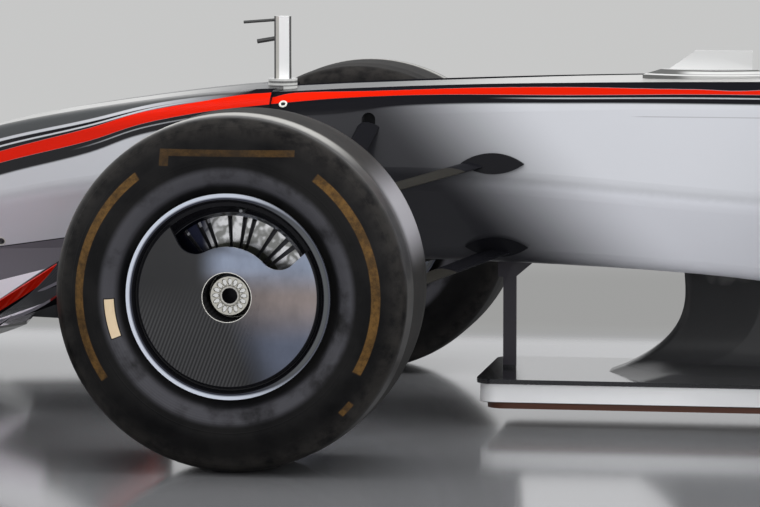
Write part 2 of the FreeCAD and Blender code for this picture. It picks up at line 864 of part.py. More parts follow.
def rear_endplate():
    front = rear_wing_x + rear_endplate_length
    tall = roll_hoop_height - rear_endplate_foot
    points = [V(front - rear_endplate_length * a, rear_wing_half - rear_endplate_thickness,
                rear_endplate_foot + tall * b)
              for a, b in rear_endplate_shares]
    plate = extrude(rounded_wire(points, [cover_corner / 2] * len(points)), ACROSS * rear_endplate_thickness)
    return plate.cut(diffuser_guard())


def wheel_faces(width):
    """Inner and outer face of a left wheel of that width."""
    return half_width - width, half_width


def make_tyre(wheel):
    """The slick tyre: crown, rounded shoulders, bulging walls and beads."""
    inner, outer = wheel_faces(wheel.width)
    middle = (inner + outer) / 2
    radius = wheel.diameter / 2
    tread = wheel.width * tread_share / 2
    bulge = wheel.width / 2
    bead = rim_barrel_radius + seat_gap
    lip = bulge - rim_inset - rim_wall * 2
    wall = tyre_wall
    outside = [(tread * 0.5, radius), (tread, radius - wall / 3), (bulge, radius * 0.80),
               (bulge, radius * 0.66), (lip, rim_flange_radius + wall / 2), (lip, bead)]
    inside = [(lip - wall * 1.6, bead), (lip - wall * 1.4, rim_flange_radius + wall), (bulge - wall, radius * 0.68),
              (bulge - wall, radius * 0.78), (tread - wall / 2, radius - wall * 1.5), (0, radius - wall)]
    right = outside + inside
    profile = right + [(-y, r) for y, r in reversed(right[:-1])]
    points = [(middle + y, r) for y, r in profile]
    radii = [shoulder_radius if r > rim_flange_radius * 1.02 else bead_radius for _, r in profile]
    return revolved(points, wheel.x, wheel.z, radii)


def rim_barrel(wheel):
    """The turned rim: two flanges, two bead seats and the well between them, close to the outer face."""
    inner, outer = wheel_faces(wheel.width)
    left, right = inner + rim_inset, outer - rim_inset
    seat = rim_wall * 6
    well_out = right - seat - rim_wall
    well_in = outer - spoke_depth - spoke_thickness * 2
    wall = rim_wall
    outside = [(right, rim_flange_radius), (right - wall, rim_flange_radius), (right - wall * 1.6, rim_barrel_radius),
               (right - seat, rim_barrel_radius - wall / 3), (well_out, rim_well_radius), (well_in, rim_well_radius),
               (well_in - wall, rim_barrel_radius - wall / 2), (left + wall * 1.6, rim_barrel_radius),
               (left + wall, rim_flange_radius), (left, rim_flange_radius)]
    inside = [(left, rim_flange_radius - wall * 1.4), (left + seat / 2, rim_barrel_radius - wall * 1.3),
              (well_in - wall * 2, rim_barrel_radius - wall * 1.5), (well_in, rim_well_radius - wall),
              (well_out, rim_well_radius - wall), (right - seat, rim_barrel_radius - wall * 1.4),
              (right, rim_flange_radius - wall * 1.6)]
    return revolved(outside + inside, wheel.x, wheel.z)


spoke_periods = 10
# Spoke blades in one tenth of a turn: start and end as shares of it
blade_shares = ((0.00, 0.38), (0.48, 0.70), (0.80, 0.90))


def make_rim(wheel):
    """Barrel, radial spoke blades, hub, spindle and wheel nut, machined as one wheel."""
    _, outer = wheel_faces(wheel.width)
    face = outer - spoke_depth
    back = face - spoke_thickness
    blades = []
    period = 2 * math.pi / spoke_periods
    root = hub_radius * 0.9
    tip = rim_well_radius - rim_wall / 2
    for turn in range(spoke_periods):
        for start, end in blade_shares:
            a, b = period * (turn + start), period * (turn + end)
            corners = [(root, a), (tip, a), (tip, b), (root, b)]
            points = [V(wheel.x + r * math.cos(t), back, wheel.z + r * math.sin(t)) for r, t in corners]
            blades.append(extrude(wire_through(points), ACROSS * spoke_thickness))

    def turned(start, end, radius):
        return rod(V(wheel.x, start, wheel.z), V(wheel.x, end, wheel.z), radius)

    nut_base = face + spoke_thickness / 2
    nut_face = nut_base + nut_height
    hub = turned(back, nut_base, hub_radius)
    inner_ring = turned(back, face, hub_radius * hub_ring_share)
    spindle = turned(back - spindle_length, back, spindle_radius)
    nut = Part.makeCone(nut_radius * nut_foot_share, nut_radius, nut_height, V(wheel.x, nut_base, wheel.z), ACROSS)
    bore = turned(nut_face - nut_bore_depth, nut_face, nut_bore_radius)
    pockets = []
    ring = (nut_radius + nut_bore_radius) / 2 + nut_pocket_radius / 4
    for i in range(nut_pocket_count):
        t = 2 * math.pi * i / nut_pocket_count
        centre = V(wheel.x + ring * math.cos(t), nut_face, wheel.z + ring * math.sin(t))
        pockets.append(rod(centre - ACROSS * nut_pocket_radius, centre, nut_pocket_radius))
    nut = nut.cut(Part.makeCompound(pockets))
    return fused([rim_barrel(wheel)] + blades + [inner_ring, hub, spindle, nut]).cut(bore)


# Opening in the wheel cover: angle of each rounded end, in degrees from straight ahead
notch_front_angle = 43
notch_rear_angle = 117
notch_inner_radius = 91
notch_end_radius = 37


def make_fairing():
    """A shallow carbon dish over the front wheel, with a curved outlet open to the rim."""
    wheel = front_wheel
    _, outer = wheel_faces(wheel.width)
    face = outer - rim_inset
    edge = rim_flange_radius - rim_wall * 2 - fairing_gap / 2
    hole = fairing_hole_radius
    sleeve = nut_radius * nut_foot_share + running_gap
    nut_base = outer - spoke_depth + spoke_thickness / 2
    thick = fairing_thickness
    profile = [(face - thick, edge), (face, edge - thick), (face + fairing_dome, hole + thick),
               (face + fairing_dome, hole), (face - fairing_gap, hole), (nut_base + thick, sleeve),
               (nut_base + running_gap, sleeve), (nut_base + running_gap, sleeve + thick),
               (face - fairing_gap - thick, hole + thick), (face + fairing_dome - thick, hole + thick * 2),
               (face - thick * 3, edge - thick * 1.5), (face - thick * 3, edge)]
    dish = revolved(profile, wheel.x, wheel.z)
    depth = ACROSS * spoke_depth
    start = V(wheel.x, face - spoke_depth / 2, wheel.z)

    def polar(angle, radius):
        t = math.radians(180 - angle)
        return start + V(math.cos(t) * radius, 0, math.sin(t) * radius)

    far = wheel.diameter
    front_low, front_high = polar(notch_front_angle, notch_inner_radius), polar(notch_front_angle, far)
    rear_low, rear_high = polar(notch_rear_angle, notch_inner_radius), polar(notch_rear_angle, far)
    low = polar((notch_front_angle + notch_rear_angle) / 2, notch_inner_radius)
    edges = [Part.makeLine(front_low, front_high), Part.makeLine(front_high, rear_high),
             Part.makeLine(rear_high, rear_low), Part.Arc(rear_low, low, front_low).toShape()]
    notch = [Part.Face(Part.Wire(edges)).extrude(depth)]
    for angle in (notch_front_angle, notch_rear_angle):
        centre = polar(angle, notch_inner_radius + notch_end_radius)
        away = (centre - start).normalize()
        notch.append(Part.makeCylinder(notch_end_radius, spoke_depth, centre, ACROSS))
        sideways = V(away.z, 0, -away.x) * notch_end_radius
        strip = [centre - sideways, centre + sideways, centre + sideways + away * far, centre - sideways + away * far]
        notch.append(extrude(wire_through(strip), depth))
    return biggest(dish.cut(fused(notch)))


def kingpin_point(height):
    """The point of the left steering axis at a height."""
    share = (height - kingpin_foot_height) / (kingpin_top_height - kingpin_foot_height)
    out = kingpin_foot_out + (kingpin_top_out - kingpin_foot_out) * share
    ahead = kingpin_trail * (1 - 2 * share)
    return V(front_axle_x + ahead, out, height)


def kingpin_way():
    way = kingpin_point(kingpin_top_height) - kingpin_point(kingpin_foot_height)
    return way.normalize()


def drum(wheel):
    """The brake drum inside a wheel, and the place of its outer face."""
    _, outer = wheel_faces(wheel.width)
    outside = outer - spoke_depth - spoke_thickness - drum_gap
    return rod(V(wheel.x, outside - drum_thickness, wheel.z), V(wheel.x, outside, wheel.z), drum_radius), outside


def post_section(point, half, thick):
    corners = [point + V(half, thick, 0), point + V(-half, thick, 0),
               point + V(-half, -thick, 0), point + V(half, -thick, 0)]
    return rounded_wire(corners, [thick / 2] * len(corners))


def make_front_upright():
    """Brake drum, bearing housing, ball joint posts and steering arm of the left front corner."""
    wheel = front_wheel
    can, outside = drum(wheel)
    top, foot = kingpin_point(kingpin_top_height), kingpin_point(kingpin_foot_height)
    half_eye = kingpin_way() * (eye_height / 2 + pin_radius / 2)
    post_top, post_foot = top - half_eye, foot + half_eye
    half = upright_width / 2
    thick = upright_thickness / 2
    middle = kingpin_point(wheel.z)
    web = []
    for point, wide in ((post_foot, post_end_share), (middle, 1), (post_top, post_end_share)):
        web.append(post_section(point, half * wide, thick * math.sqrt(wide)))
    pins = [rod(post_top - half_eye, top + half_eye * pin_reach_share, pin_radius),
            rod(post_foot + half_eye, foot - half_eye * pin_reach_share, pin_radius)]
    arm_root, arm_tip = steering_arm_ends()
    deep, wide = pin_radius * 1.5, pin_radius * 1.4
    arm = box(arm_root.x, arm_tip.x + pin_radius, arm_tip.y - wide, arm_tip.y + wide,
              arm_tip.z - deep, arm_tip.z + deep)
    pin = rod(arm_tip, arm_tip - UP * (eye_height * 1.6 + deep), pin_radius * 0.8)
    spindle_hole = rod(V(wheel.x, 0, wheel.z), V(wheel.x, half_width, wheel.z), spindle_radius + running_gap)
    housing = rod(middle - ACROSS * thick, V(wheel.x, outside - drum_thickness / 2, wheel.z), spindle_radius * 2)
    return fused([can, loft(web), arm, pin, housing] + pins).cut(spindle_hole)


def steering_arm_ends():
    height = front_wheel.z - drum_radius / 4
    root = kingpin_point(height)
    return root, V(root.x + steering_arm, root.y, height)


def track_rod_pin():
    """Centre of the track rod's eye under the steering arm."""
    _, tip = steering_arm_ends()
    return tip - UP * (pin_radius * 1.5 + eye_height)


def make_steering_rack():
    """The rack bar in its housing, with both track rods, sliding sideways as one piece."""
    reach = rack_housing_half * rack_reach_share
    pieces = [rod(V(rack_x, -reach, rack_height), V(rack_x, reach, rack_height), rack_radius)]
    half_eye = UP * (eye_height / 2)
    for side in (1, -1):
        pin = track_rod_pin()
        eye_centre = V(pin.x, side * pin.y, pin.z)
        link = rod(V(rack_x, side * (reach - rack_radius), rack_height), eye_centre, track_rod_radius)
        eye = rod(eye_centre - half_eye, eye_centre + half_eye, rod_eye_radius)
        pieces.append(fused([link, eye]).cut(rod(eye_centre - half_eye * 4, eye_centre + half_eye * 4, rod_eye_bore)))
    return fused(pieces)


def blade(start, end, chord=arm_chord, thickness=arm_thickness, taper=1):
    """A link of streamlined section, its chord along the car, narrower at its start by the taper."""
    wires = []
    for point, size in ((start, taper), (end, 1)):
        profile = [point + V(chord * size * ahead, 0, thickness * thick) for ahead, thick in arm_section_shares]
        curve = Part.BSplineCurve()
        curve.interpolate(profile, True)
        wires.append(Part.Wire(curve.toShape()))
    return loft(wires, True)


arm_section_shares = ((0.5, 0), (0.3, 0.42), (0, 0.5), (-0.3, 0.3), (-0.5, 0), (-0.3, -0.3), (0, -0.5), (0.3, -0.42))


def place(along, across, up):
    """A point by its shares of the wheelbase behind the front axle, half the width and the rear tyre's diameter."""
    return V(front_axle_x - wheelbase * along, half_width * across, rear_tyre_diameter * up)


# Suspension pick-ups inside the body
front_upper_shares = ((0.000, 0.16, 0.82), (0.135, 0.16, 0.802))
front_lower_shares = ((-0.002, 0.12, 0.56), (0.138, 0.12, 0.535))
pushrod_top_share = (0.0532, 0.16, 0.957)
pushrod_foot_share = (0.004, 0.66, 0.36)


def eye_on_kingpin(height):
    centre = kingpin_point(height)
    way = kingpin_way() * (eye_height / 2)
    return rod(centre - way, centre + way, eye_radius)


def pin_bore(height):
    centre = kingpin_point(height)
    way = kingpin_way() * eye_height * 2
    return rod(centre - way, centre + way, pin_radius + running_gap)


def boot(behind, height):
    """An almond shaped cover pad on the cell's side, where a link enters it."""
    middle = V(front_axle_x - behind, 0, height)
    reach, rise = ALONG * (boot_length / 2), UP * (boot_height / 2)
    edges = [Part.Arc(middle + reach, middle + rise, middle - reach).toShape(),
             Part.Arc(middle - reach, middle - rise, middle + reach).toShape()]
    return Part.Face(Part.Wire(edges)).extrude(ACROSS * half_width).common(tub_body(boot_proud))


def front_suspension():
    """Upper and lower wishbone and pushrod of the left front corner, with their covers."""
    tub = tub_body(seat_gap)
    arms = []
    for height, picks, boot_height_here in ((kingpin_top_height, front_upper_shares, boot_upper_height),
                                            (kingpin_foot_height, front_lower_shares, boot_lower_height)):
        ball = kingpin_point(height)
        inboard = V(ball.x, ball.y - eye_radius * 0.7, ball.z)
        pieces = [eye_on_kingpin(height)]
        for share, behind in zip(picks, (boot_front_behind, boot_behind)):
            pieces.append(blade(inboard, place(*share), taper=arm_taper_share))
            pieces.append(boot(behind, boot_height_here))
        arm = fused(pieces).cut(tub).cut(pin_bore(height))
        arms.append(biggest(arm))
    foot, top = place(*pushrod_foot_share), place(*pushrod_top_share)
    strut = blade(foot, top, pushrod_chord, arm_thickness, arm_taper_share).cut(tub).cut(arms[1])
    return Part.makeCompound(arms + [biggest(strut)])


rear_hub_out = 640
rear_top_height = 455
rear_foot_height = 195
rear_upper_shares = ((0.915, 0.09, 0.60), (1.03, 0.09, 0.58))
rear_lower_shares = ((0.885, 0.10, 0.30), (1.04, 0.09, 0.32))


def make_rear_upright():
    wheel = rear_wheel
    can, outside = drum(wheel)
    thick = upright_thickness / 2
    half = upright_width / 2
    web = []
    for z, wide in ((rear_foot_height, 0.6), (wheel.z, 1.2), (rear_top_height, 0.6)):
        web.append(post_section(V(wheel.x, rear_hub_out, z), half * wide, thick))
    bridge = box(wheel.x - half, wheel.x + half, rear_hub_out, outside - drum_thickness / 2,
                 wheel.z - half, wheel.z + half)
    hole = rod(V(wheel.x, rear_hub_out - thick - overrun, wheel.z), V(wheel.x, half_width, wheel.z),
               spindle_radius + running_gap)
    return fused([can, loft(web), bridge]).cut(hole)


def rear_arm_ends():
    """Outer end and pick-ups of each left rear wishbone."""
    rows = []
    for z, picks in ((rear_top_height, rear_upper_shares), (rear_foot_height, rear_lower_shares)):
        inward = math.copysign(arm_chord / 3, z - rear_wheel.z)
        outer = V(rear_wheel.x, rear_hub_out - upright_thickness / 4, z - inward)
        rows.append((outer, [place(*share) for share in picks]))
    return rows


def drive_shaft(radius):
    shaft_end = rear_hub_out - upright_thickness / 2 - seat_gap
    height = rear_wheel.z - arm_thickness
    return rod(V(rear_wheel.x, 0, height), V(rear_wheel.x, shaft_end, height), radius)


def rear_link_slots():
    """The slots through which the left rear links leave the bodywork."""
    chord, thickness = arm_chord + 2 * link_slot_gap, arm_thickness + 2 * link_slot_gap
    slots = [drive_shaft(spindle_radius + link_slot_gap)]
    for outer, roots in rear_arm_ends():
        slots += [blade(outer, root, chord, thickness) for root in roots]
    return slots


def rear_suspension():
    """Upper and lower wishbone and drive shaft of the left rear corner."""
    box_body = gearbox_body(seat_gap)
    upright = make_rear_upright()
    pieces = []
    for outer, roots in rear_arm_ends():
        arm = fused([blade(outer, root) for root in roots])
        pieces.append(biggest(arm.cut(box_body).cut(upright)))
    shaft = drive_shaft(spindle_radius * 0.8).cut(box_body)
    pieces.append(max(shaft.Solids, key=lambda solid: solid.CenterOfMass.y))
    return Part.makeCompound(pieces)


mast_ahead = 54
fin_behind = 790


def make_mast():
    """The upright sensor mast on the nose, with its two forward probes and its foot."""
    x = front_axle_x + mast_ahead
    z_foot = nose_top * mast_foot_share
    z_top = nose_top * mast_seat_share + mast_height
    thick = mast_thickness / 2
    outline = []
    for z, wide in ((z_foot, 1.1), (z_foot + mast_height * 0.3, 1), (z_top, 1)):
        half = mast_chord / 2 * wide
        corners = [V(x + half, thick, z), V(x - half, thick, z), V(x - half, -thick, z), V(x + half, -thick, z)]
        outline.append(rounded_wire(corners, [thick * 0.8] * len(corners)))
    foot = rod(V(x, 0, z_foot), V(x, 0, nose_top * mast_seat_share + probe_radius), mast_chord * 0.85)
    pieces = [loft(outline, True), foot]
    for radius, start, end, reach in ((1, 0.05, 0.10, 2.3), (1.5, 0.33, 0.40, 1.5)):
        pieces.append(rod(V(x, 0, z_top - mast_height * start),
                          V(x + mast_chord * reach, 0, z_top - mast_height * end),
                          probe_radius * radius))
    return biggest(fused(pieces).cut(nose_body(seat_gap)).cut(tub_body(seat_gap)))


def make_fin():
    """The streamlined base ahead of the cockpit and the flat fin that stands on it."""
    middle = front_axle_x - fin_behind
    half = fin_base_length / 2
    wires = []
    levels = ((tub_top * 0.97, 1), (tub_top + fin_base_height * 0.3, 1),
              (tub_top + fin_base_height, fin_base_taper_share))
    for z, size in levels:
        front, rear = V(middle + half * size, 0, z), V(middle - half * size, 0, z)
        bulge = ACROSS * (half * fin_base_bulge_share * size)
        centre = V(middle, 0, z)
        wires.append(Part.Wire([Part.Arc(front, centre + bulge, rear).toShape(),
                                Part.Arc(rear, centre - bulge, front).toShape()]))
    rear = middle - fin_length / 2
    top = tub_top + fin_base_height + fin_height
    side = [V(rear, 0, tub_top), V(rear, 0, top), V(rear + fin_length * fin_flat_share, 0, top),
            V(rear + fin_length, 0, tub_top + fin_base_height * 0.7)]
    plate = extrude(wire_through([p - ACROSS * (fin_thickness / 2) for p in side]), ACROSS * fin_thickness)
    return biggest(fused([loft(wires, True), plate]).cut(tub_body(seat_gap)))


def pane(centre, wide, high, radius):
    """A rounded rectangle across the car, its half width and half height about a centre."""
    corners = [centre + V(0, wide, -high), centre + V(0, wide, high),
               centre + V(0, -wide, high), centre + V(0, -wide, -high)]
    return rounded_wire(corners, [radius] * len(corners))


def make_mirror():
    """The left mirror housing on its stalk."""
    x = front_axle_x - cockpit_front_behind - mirror_depth * 3
    z = tub_top * 1.04
    wires = []
    for back, size in mirror_shares:
        high, wide = mirror_height / 2 * size, mirror_width / 2 * size
        wires.append(pane(V(x + mirror_depth * (0.5 - back), mirror_out, z), wide, high, high * 0.6))
    rear_x = x - mirror_depth / 2
    high = mirror_height * mirror_glass_share / 2
    glass = pane(V(rear_x, mirror_out, z), mirror_width * mirror_glass_share / 2, high, high / 2)
    stalk = blade(V(x, mirror_out - mirror_width / 4, z), V(x, tub_half * 0.6, tub_top * 0.93),
                  mirror_depth * 0.6, mirror_height / 7)
    recess = extrude(glass, ALONG * (mirror_depth / 5))
    return biggest(fused([loft(wires), stalk]).cut(tub_body(seat_gap)).cut(recess))


def make_camera_pod():
    """The camera housing on top of the roll hoop."""
    x = cover_front_x - camera_pod_length
    z = roll_hoop_height * camera_pod_seat_share
    wires = []
    for along, size in camera_pod_shares:
        high = camera_pod_half * size
        wires.append(pane(V(x + camera_pod_length * along, 0, z), high * 2, high, high / 2))
    return biggest(loft(wires).cut(cover_body(seat_gap)))


def make_cockpit_surround():
    """The padded collar round the back and sides of the cockpit opening, rising to the rear."""
    foot = tub_top * 0.9
    ring = extrude(opening_outline(foot, collar_width), UP * roll_hoop_height)
    hole = extrude(opening_outline(foot - overrun), UP * roll_hoop_height)
    front_x = cockpit_front_x - cockpit_length * collar_start_share
    rear_x = cockpit_rear_x - collar_width - overrun
    low, high = tub_top * 1.02, tub_top * 1.02 + collar_height * 1.6
    side = [V(front_x, -half_width, foot), V(rear_x, -half_width, foot), V(rear_x, -half_width, high),
            V(cockpit_rear_x + overrun, -half_width, high), V(front_x - overrun, -half_width, low + collar_height / 2),
            V(front_x, -half_width, low)]
    envelope = extrude(wire_through(side), ACROSS * 2 * half_width)
    return biggest(ring.cut(hole).common(envelope).cut(tub_body(seat_gap)).cut(cover_body(seat_gap)))


def make_windscreen():
    z = tub_top * 0.95
    outer = extrude(opening_outline(z, screen_thickness * 3), UP * (tub_top * 0.05 + screen_height))
    inner = extrude(opening_outline(z - overrun, screen_thickness * 2), UP * roll_hoop_height)
    rear = box(cockpit_rear_x - overrun, cockpit_front_x - cockpit_length * screen_length_share,
               -half_width, half_width, 0, roll_hoop_height)
    return biggest(outer.cut(inner).cut(rear).cut(tub_body(seat_gap)))


# Seat's inner face from thigh to shoulder: along the cockpit, and height
seat_shares = ((0.16, 0.60), (0.36, 0.42), (0.56, 0.34), (0.74, 0.44), (0.90, 0.82))


def make_seat():
    """The moulded shell seat, shaped to the cell's sides."""
    line = [V(cockpit_front_x - cockpit_length * a, -cockpit_half, tub_top * b) for a, b in seat_shares]
    lower = [p - V(seat_thickness * 0.6, 0, seat_thickness) for p in reversed(line)]
    top = Part.BSplineCurve()
    top.interpolate(line)
    under = Part.BSplineCurve()
    under.interpolate(lower)
    wire = Part.Wire([top.toShape(), Part.makeLine(line[-1], lower[0]),
                      under.toShape(), Part.makeLine(lower[-1], line[0])])
    return biggest(extrude(wire, ACROSS * 2 * cockpit_half).common(cockpit_cavity(tub_wall + seat_gap)))


def make_steering_wheel():
    """The wheel's plate with its two grip openings, and the column behind it."""
    centre, towards = steering_column_line()
    up = V(towards.z, 0, -towards.x)
    half_w, half_h = steering_wheel_width / 2, steering_wheel_height / 2

    def at(across_share, up_share):
        return centre + ACROSS * (half_w * across_share) + up * (half_h * up_share)

    outline = [at(a, b) for a, b in wheel_plate_shares]
    plate = extrude(rounded_wire(outline, [steering_wheel_depth] * len(outline)), towards * steering_wheel_depth)
    for side in (1, -1):
        corners = [at(side * grip_middle_share + a, b) - towards * steering_wheel_depth for a, b in grip_hole_shares]
        hole = extrude(rounded_wire(corners, [steering_wheel_depth / 3] * len(corners)),
                       towards * steering_wheel_depth * 3)
        plate = plate.cut(hole)
    dash_x = front_axle_x - dash_behind
    reach = (dash_x - centre.x) / abs(towards.x) + dash_thickness * 2
    column = rod(centre + towards * (steering_wheel_depth / 2), centre - towards * reach, column_radius)
    return fused([plate, column])


def write(name, shape):
    solids = shape.Solids
    whole = solids[0] if len(solids) == 1 else Part.makeCompound(solids)
    if not whole.isValid():
        print("not valid:", name)
    whole.exportStep(os.path.join("parts", name + ".step"))


def write_pair(name, shape):
    """A left piece and its mirror image."""
    write(name + "_left", shape)
    write(name + "_right", mirrored(shape))


def main():
    os.makedirs("parts", exist_ok=True)
    for name, make in (
            ("nose", make_nose), ("monocoque", make_monocoque), ("keel", make_keel), ("splitter", make_splitter),
            ("plank", make_plank), ("floor", make_floor), ("diffuser", make_diffuser), ("front_wing", front_wing_plane),
            ("engine_cover", make_engine_cover), ("engine_block", make_engine_block), ("gearbox", gearbox_body),
            ("crash_structure", make_crash_structure), ("rain_light", make_rain_light), ("rear_wing", make_rear_wing),
            ("nose_mast", make_mast), ("chassis_fin", make_fin), ("camera_pod", make_camera_pod),
            ("cockpit_surround", make_cockpit_surround), ("windscreen", make_windscreen), ("seat", make_seat),
            ("steering_wheel", make_steering_wheel), ("steering_rack", make_steering_rack)):
        write(name, make())
    for name, make in (
            ("sidepod", sidepod), ("exhaust", exhaust), ("front_flaps", front_flaps), ("front_endplate", front_endplate),
            ("rear_endplate", rear_endplate), ("front_upright", make_front_upright),
            ("front_suspension", front_suspension), ("rear_upright", make_rear_upright),
            ("rear_suspension", rear_suspension), ("mirror", make_mirror), ("wheel_cover", make_fairing)):
        write_pair(name, make())
    for name, wheel in (("front", front_wheel), ("rear", rear_wheel)):
        write_pair(name + "_tyre", make_tyre(wheel))
        write_pair(name + "_rim", make_rim(wheel))


main()
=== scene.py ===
"""Materials and fine detail of an open wheel racing car, built round its CAD frame. Lengths are in metres."""
import math

import bmesh
import bpy
from mathutils import Matrix, Vector


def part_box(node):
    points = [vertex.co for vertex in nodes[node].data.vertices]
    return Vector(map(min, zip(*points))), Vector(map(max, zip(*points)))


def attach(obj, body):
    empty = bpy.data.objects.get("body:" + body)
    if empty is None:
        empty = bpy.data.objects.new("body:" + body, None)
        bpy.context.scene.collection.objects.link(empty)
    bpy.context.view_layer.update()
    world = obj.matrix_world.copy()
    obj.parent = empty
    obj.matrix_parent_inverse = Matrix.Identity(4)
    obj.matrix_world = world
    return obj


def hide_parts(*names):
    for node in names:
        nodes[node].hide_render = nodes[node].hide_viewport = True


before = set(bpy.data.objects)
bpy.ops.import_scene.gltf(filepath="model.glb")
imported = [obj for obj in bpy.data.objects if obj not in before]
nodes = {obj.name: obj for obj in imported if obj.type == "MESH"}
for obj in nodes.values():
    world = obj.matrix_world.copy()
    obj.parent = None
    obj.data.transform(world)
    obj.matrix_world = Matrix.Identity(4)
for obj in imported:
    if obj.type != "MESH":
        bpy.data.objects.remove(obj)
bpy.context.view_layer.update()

ACROSS = Vector((0, 1, 0))
UP = Vector((0, 0, 1))

# The photograph's camera, measured from the front axle's place on the ground
IMAGE_WIDTH = 760
CAMERA_FROM_AXLE = Vector((-1.575, 9.253, 1.2855))
CAMERA_YAW, CAMERA_PITCH = 8.813, 5.909
FOCAL_PIXELS = 4755.1
SENSOR_WIDTH = 36

# Colours as the light that each surface sends back
SILVER = (0.64, 0.65, 0.69)
# Silver lifted with painted light, for faces that look down
UNDERSIDE_PAINTED_LIGHT_SILVER = (0.86, 0.87, 0.93)
# Silver darkened with painted shade: round the front wheel, and on faces that look straight up
PAINTED_SHADE_SILVER, TOP_PAINTED_SHADE_SILVER = (0.016, 0.016, 0.020), (0.50, 0.495, 0.48)
LAVENDER = (0.74, 0.70, 0.80)
PLATE_INSIDE = (0.92, 0.87, 0.95)
# Painted shade on the pylons, also the colour of the cell's seam line
PYLON_SHADE_AND_SEAM_GREY = (0.165, 0.155, 0.180)
RED, TUB_RED = (0.68, 0.013, 0.003), (0.50, 0.010, 0.002)
# A painted highlight on the flaps' red
RED_HIGHLIGHT = (0.80, 0.085, 0.060)
BLACK = (0.008, 0.008, 0.010)
INSIDE_GREY = (0.060, 0.061, 0.066)
# A dark reflection painted on the shoulders above the red line
SHOULDER_PAINTED_REFLECTION = (0.026, 0.029, 0.029)
WHITE = (0.96, 0.96, 0.955)
CARBON_WARP = (0.034, 0.035, 0.039)
CARBON_WEFT = (0.012, 0.012, 0.015)
SEAT_WARP, SEAT_WEFT = (0.16, 0.16, 0.17), (0.09, 0.09, 0.10)
RUBBER, RUBBER_WORN = (0.0040, 0.0040, 0.0045), (0.0125, 0.0120, 0.0120)
# Painted highlights along the tyre's crown and its tread
CROWN_HIGHLIGHT, TREAD_HIGHLIGHT = (0.50, 0.49, 0.46), (0.44, 0.43, 0.46)
# A bluish painted sheen on the sidewall's ribbed band
SIDEWALL_RIB_SHEEN = (0.080, 0.079, 0.090)
DUST = (0.105, 0.095, 0.085)
GOLD = (0.185, 0.098, 0.028)
LABEL, LABEL_STAINED = (0.80, 0.66, 0.46), (0.70, 0.52, 0.33)
WOOD_PALE, WOOD_DARK = (0.15, 0.052, 0.026), (0.045, 0.016, 0.010)
# The nut's metal, its painted highlight, and its painted shade lines
NUT_METAL, NUT_GLINT, NUT_SHADE_LINE = (0.72, 0.70, 0.63), (0.98, 0.98, 0.97), (0.16, 0.155, 0.14)
DARK_METAL = (0.10, 0.10, 0.11)
RIM_METAL, SPOKE_METAL = (0.20, 0.21, 0.24), (0.86, 0.86, 0.88)
# The flange's painted shade, also used on the disc ahead, its painted highlight, and its painted shade behind
FLANGE_AND_DISC_SHADE, FLANGE_HIGHLIGHT, FLANGE_SHADE_BEHIND = (0.012, 0.014, 0.030), (0.66, 0.70, 0.80), (0.10, 0.105, 0.11)
COVER_DARK, COVER_PALE, COVER_CLOTH = (0.009, 0.009, 0.011), (0.019, 0.019, 0.021), (0.050, 0.050, 0.053)
# Tints of the wheel cover's painted reflection
REFLECTION_HIGH, REFLECTION_MIDDLE, REFLECTION_LOW = (0.36, 0.42, 0.56), (0.36, 0.295, 0.28), (0.14, 0.165, 0.24)
KEEL_DARK, KEEL_PALE, KEEL_EDGE_HIGHLIGHT = (0.030, 0.030, 0.031), (0.046, 0.046, 0.047), (0.30, 0.30, 0.29)
TRAY_METAL, TRAY_METAL_WORN, STAY_BLACK = (0.97, 0.975, 0.985), (0.92, 0.925, 0.94), (0.040, 0.036, 0.046)
MAST_METAL, MAST_BRIGHT, MAST_FRONT = (0.93, 0.93, 0.93), (0.985, 0.985, 0.99), (0.50, 0.48, 0.45)
MAST_OUTLINE, FOOT_METAL, FOOT_LINE = (0.06, 0.06, 0.06), (0.72, 0.72, 0.70), (0.05, 0.05, 0.05)
# The fin's base tones and its painted highlights
FIN_BASE_DARK, FIN_BASE_PALE, FIN_RIM_HIGHLIGHT = (0.10, 0.10, 0.098), (0.16, 0.16, 0.155), (0.80, 0.80, 0.79)
FIN_UPPER_HIGHLIGHT, FIN_LOWER_HIGHLIGHT, FIN_EDGE = (0.72, 0.72, 0.71), (0.62, 0.62, 0.61), (0.35, 0.35, 0.35)
HUB_OLIVE = (0.085, 0.088, 0.070)
CAST_METAL, HEATED_STEEL, KNOB_METAL = (0.40, 0.41, 0.43), (0.30, 0.24, 0.19), (0.55, 0.55, 0.57)
FASTENER_METAL, MIRROR_GLASS, CORE_METAL = (0.78, 0.76, 0.71), (0.90, 0.91, 0.92), (0.20, 0.20, 0.21)
SCREEN_TINT, LENS_RED, LAMP_RED = (0.55, 0.57, 0.60), (0.45, 0.01, 0.01), (0.55, 0.01, 0.01)
SCREEN_OFF, LAMP_GREEN = (0.012, 0.016, 0.020), (0.05, 0.32, 0.09)
COLLAR_CLOTH, WEBBING, SUEDE = (0.035, 0.035, 0.038), (0.42, 0.42, 0.43), (0.022, 0.022, 0.024)
LINK_BROWN, LINK_EDGE = (0.017, 0.016, 0.014), (0.12, 0.115, 0.105)
FLOOR_NEAR, FLOOR_BACK, FLOOR_FRONT = (0.190, 0.192, 0.200), (0.570, 0.572, 0.568), (0.66, 0.665, 0.67)
FLOOR_WALL_FOOT, FLOOR_BOUNCE = (0.340, 0.340, 0.335), (0.50, 0.50, 0.51)
WORLD_COLOUR, WALLS, CEILING = (0.82, 0.83, 0.84), (0.84, 0.845, 0.855), (0.16, 0.165, 0.17)


def middle_of(node):
    low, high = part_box(node)
    return (low + high) / 2


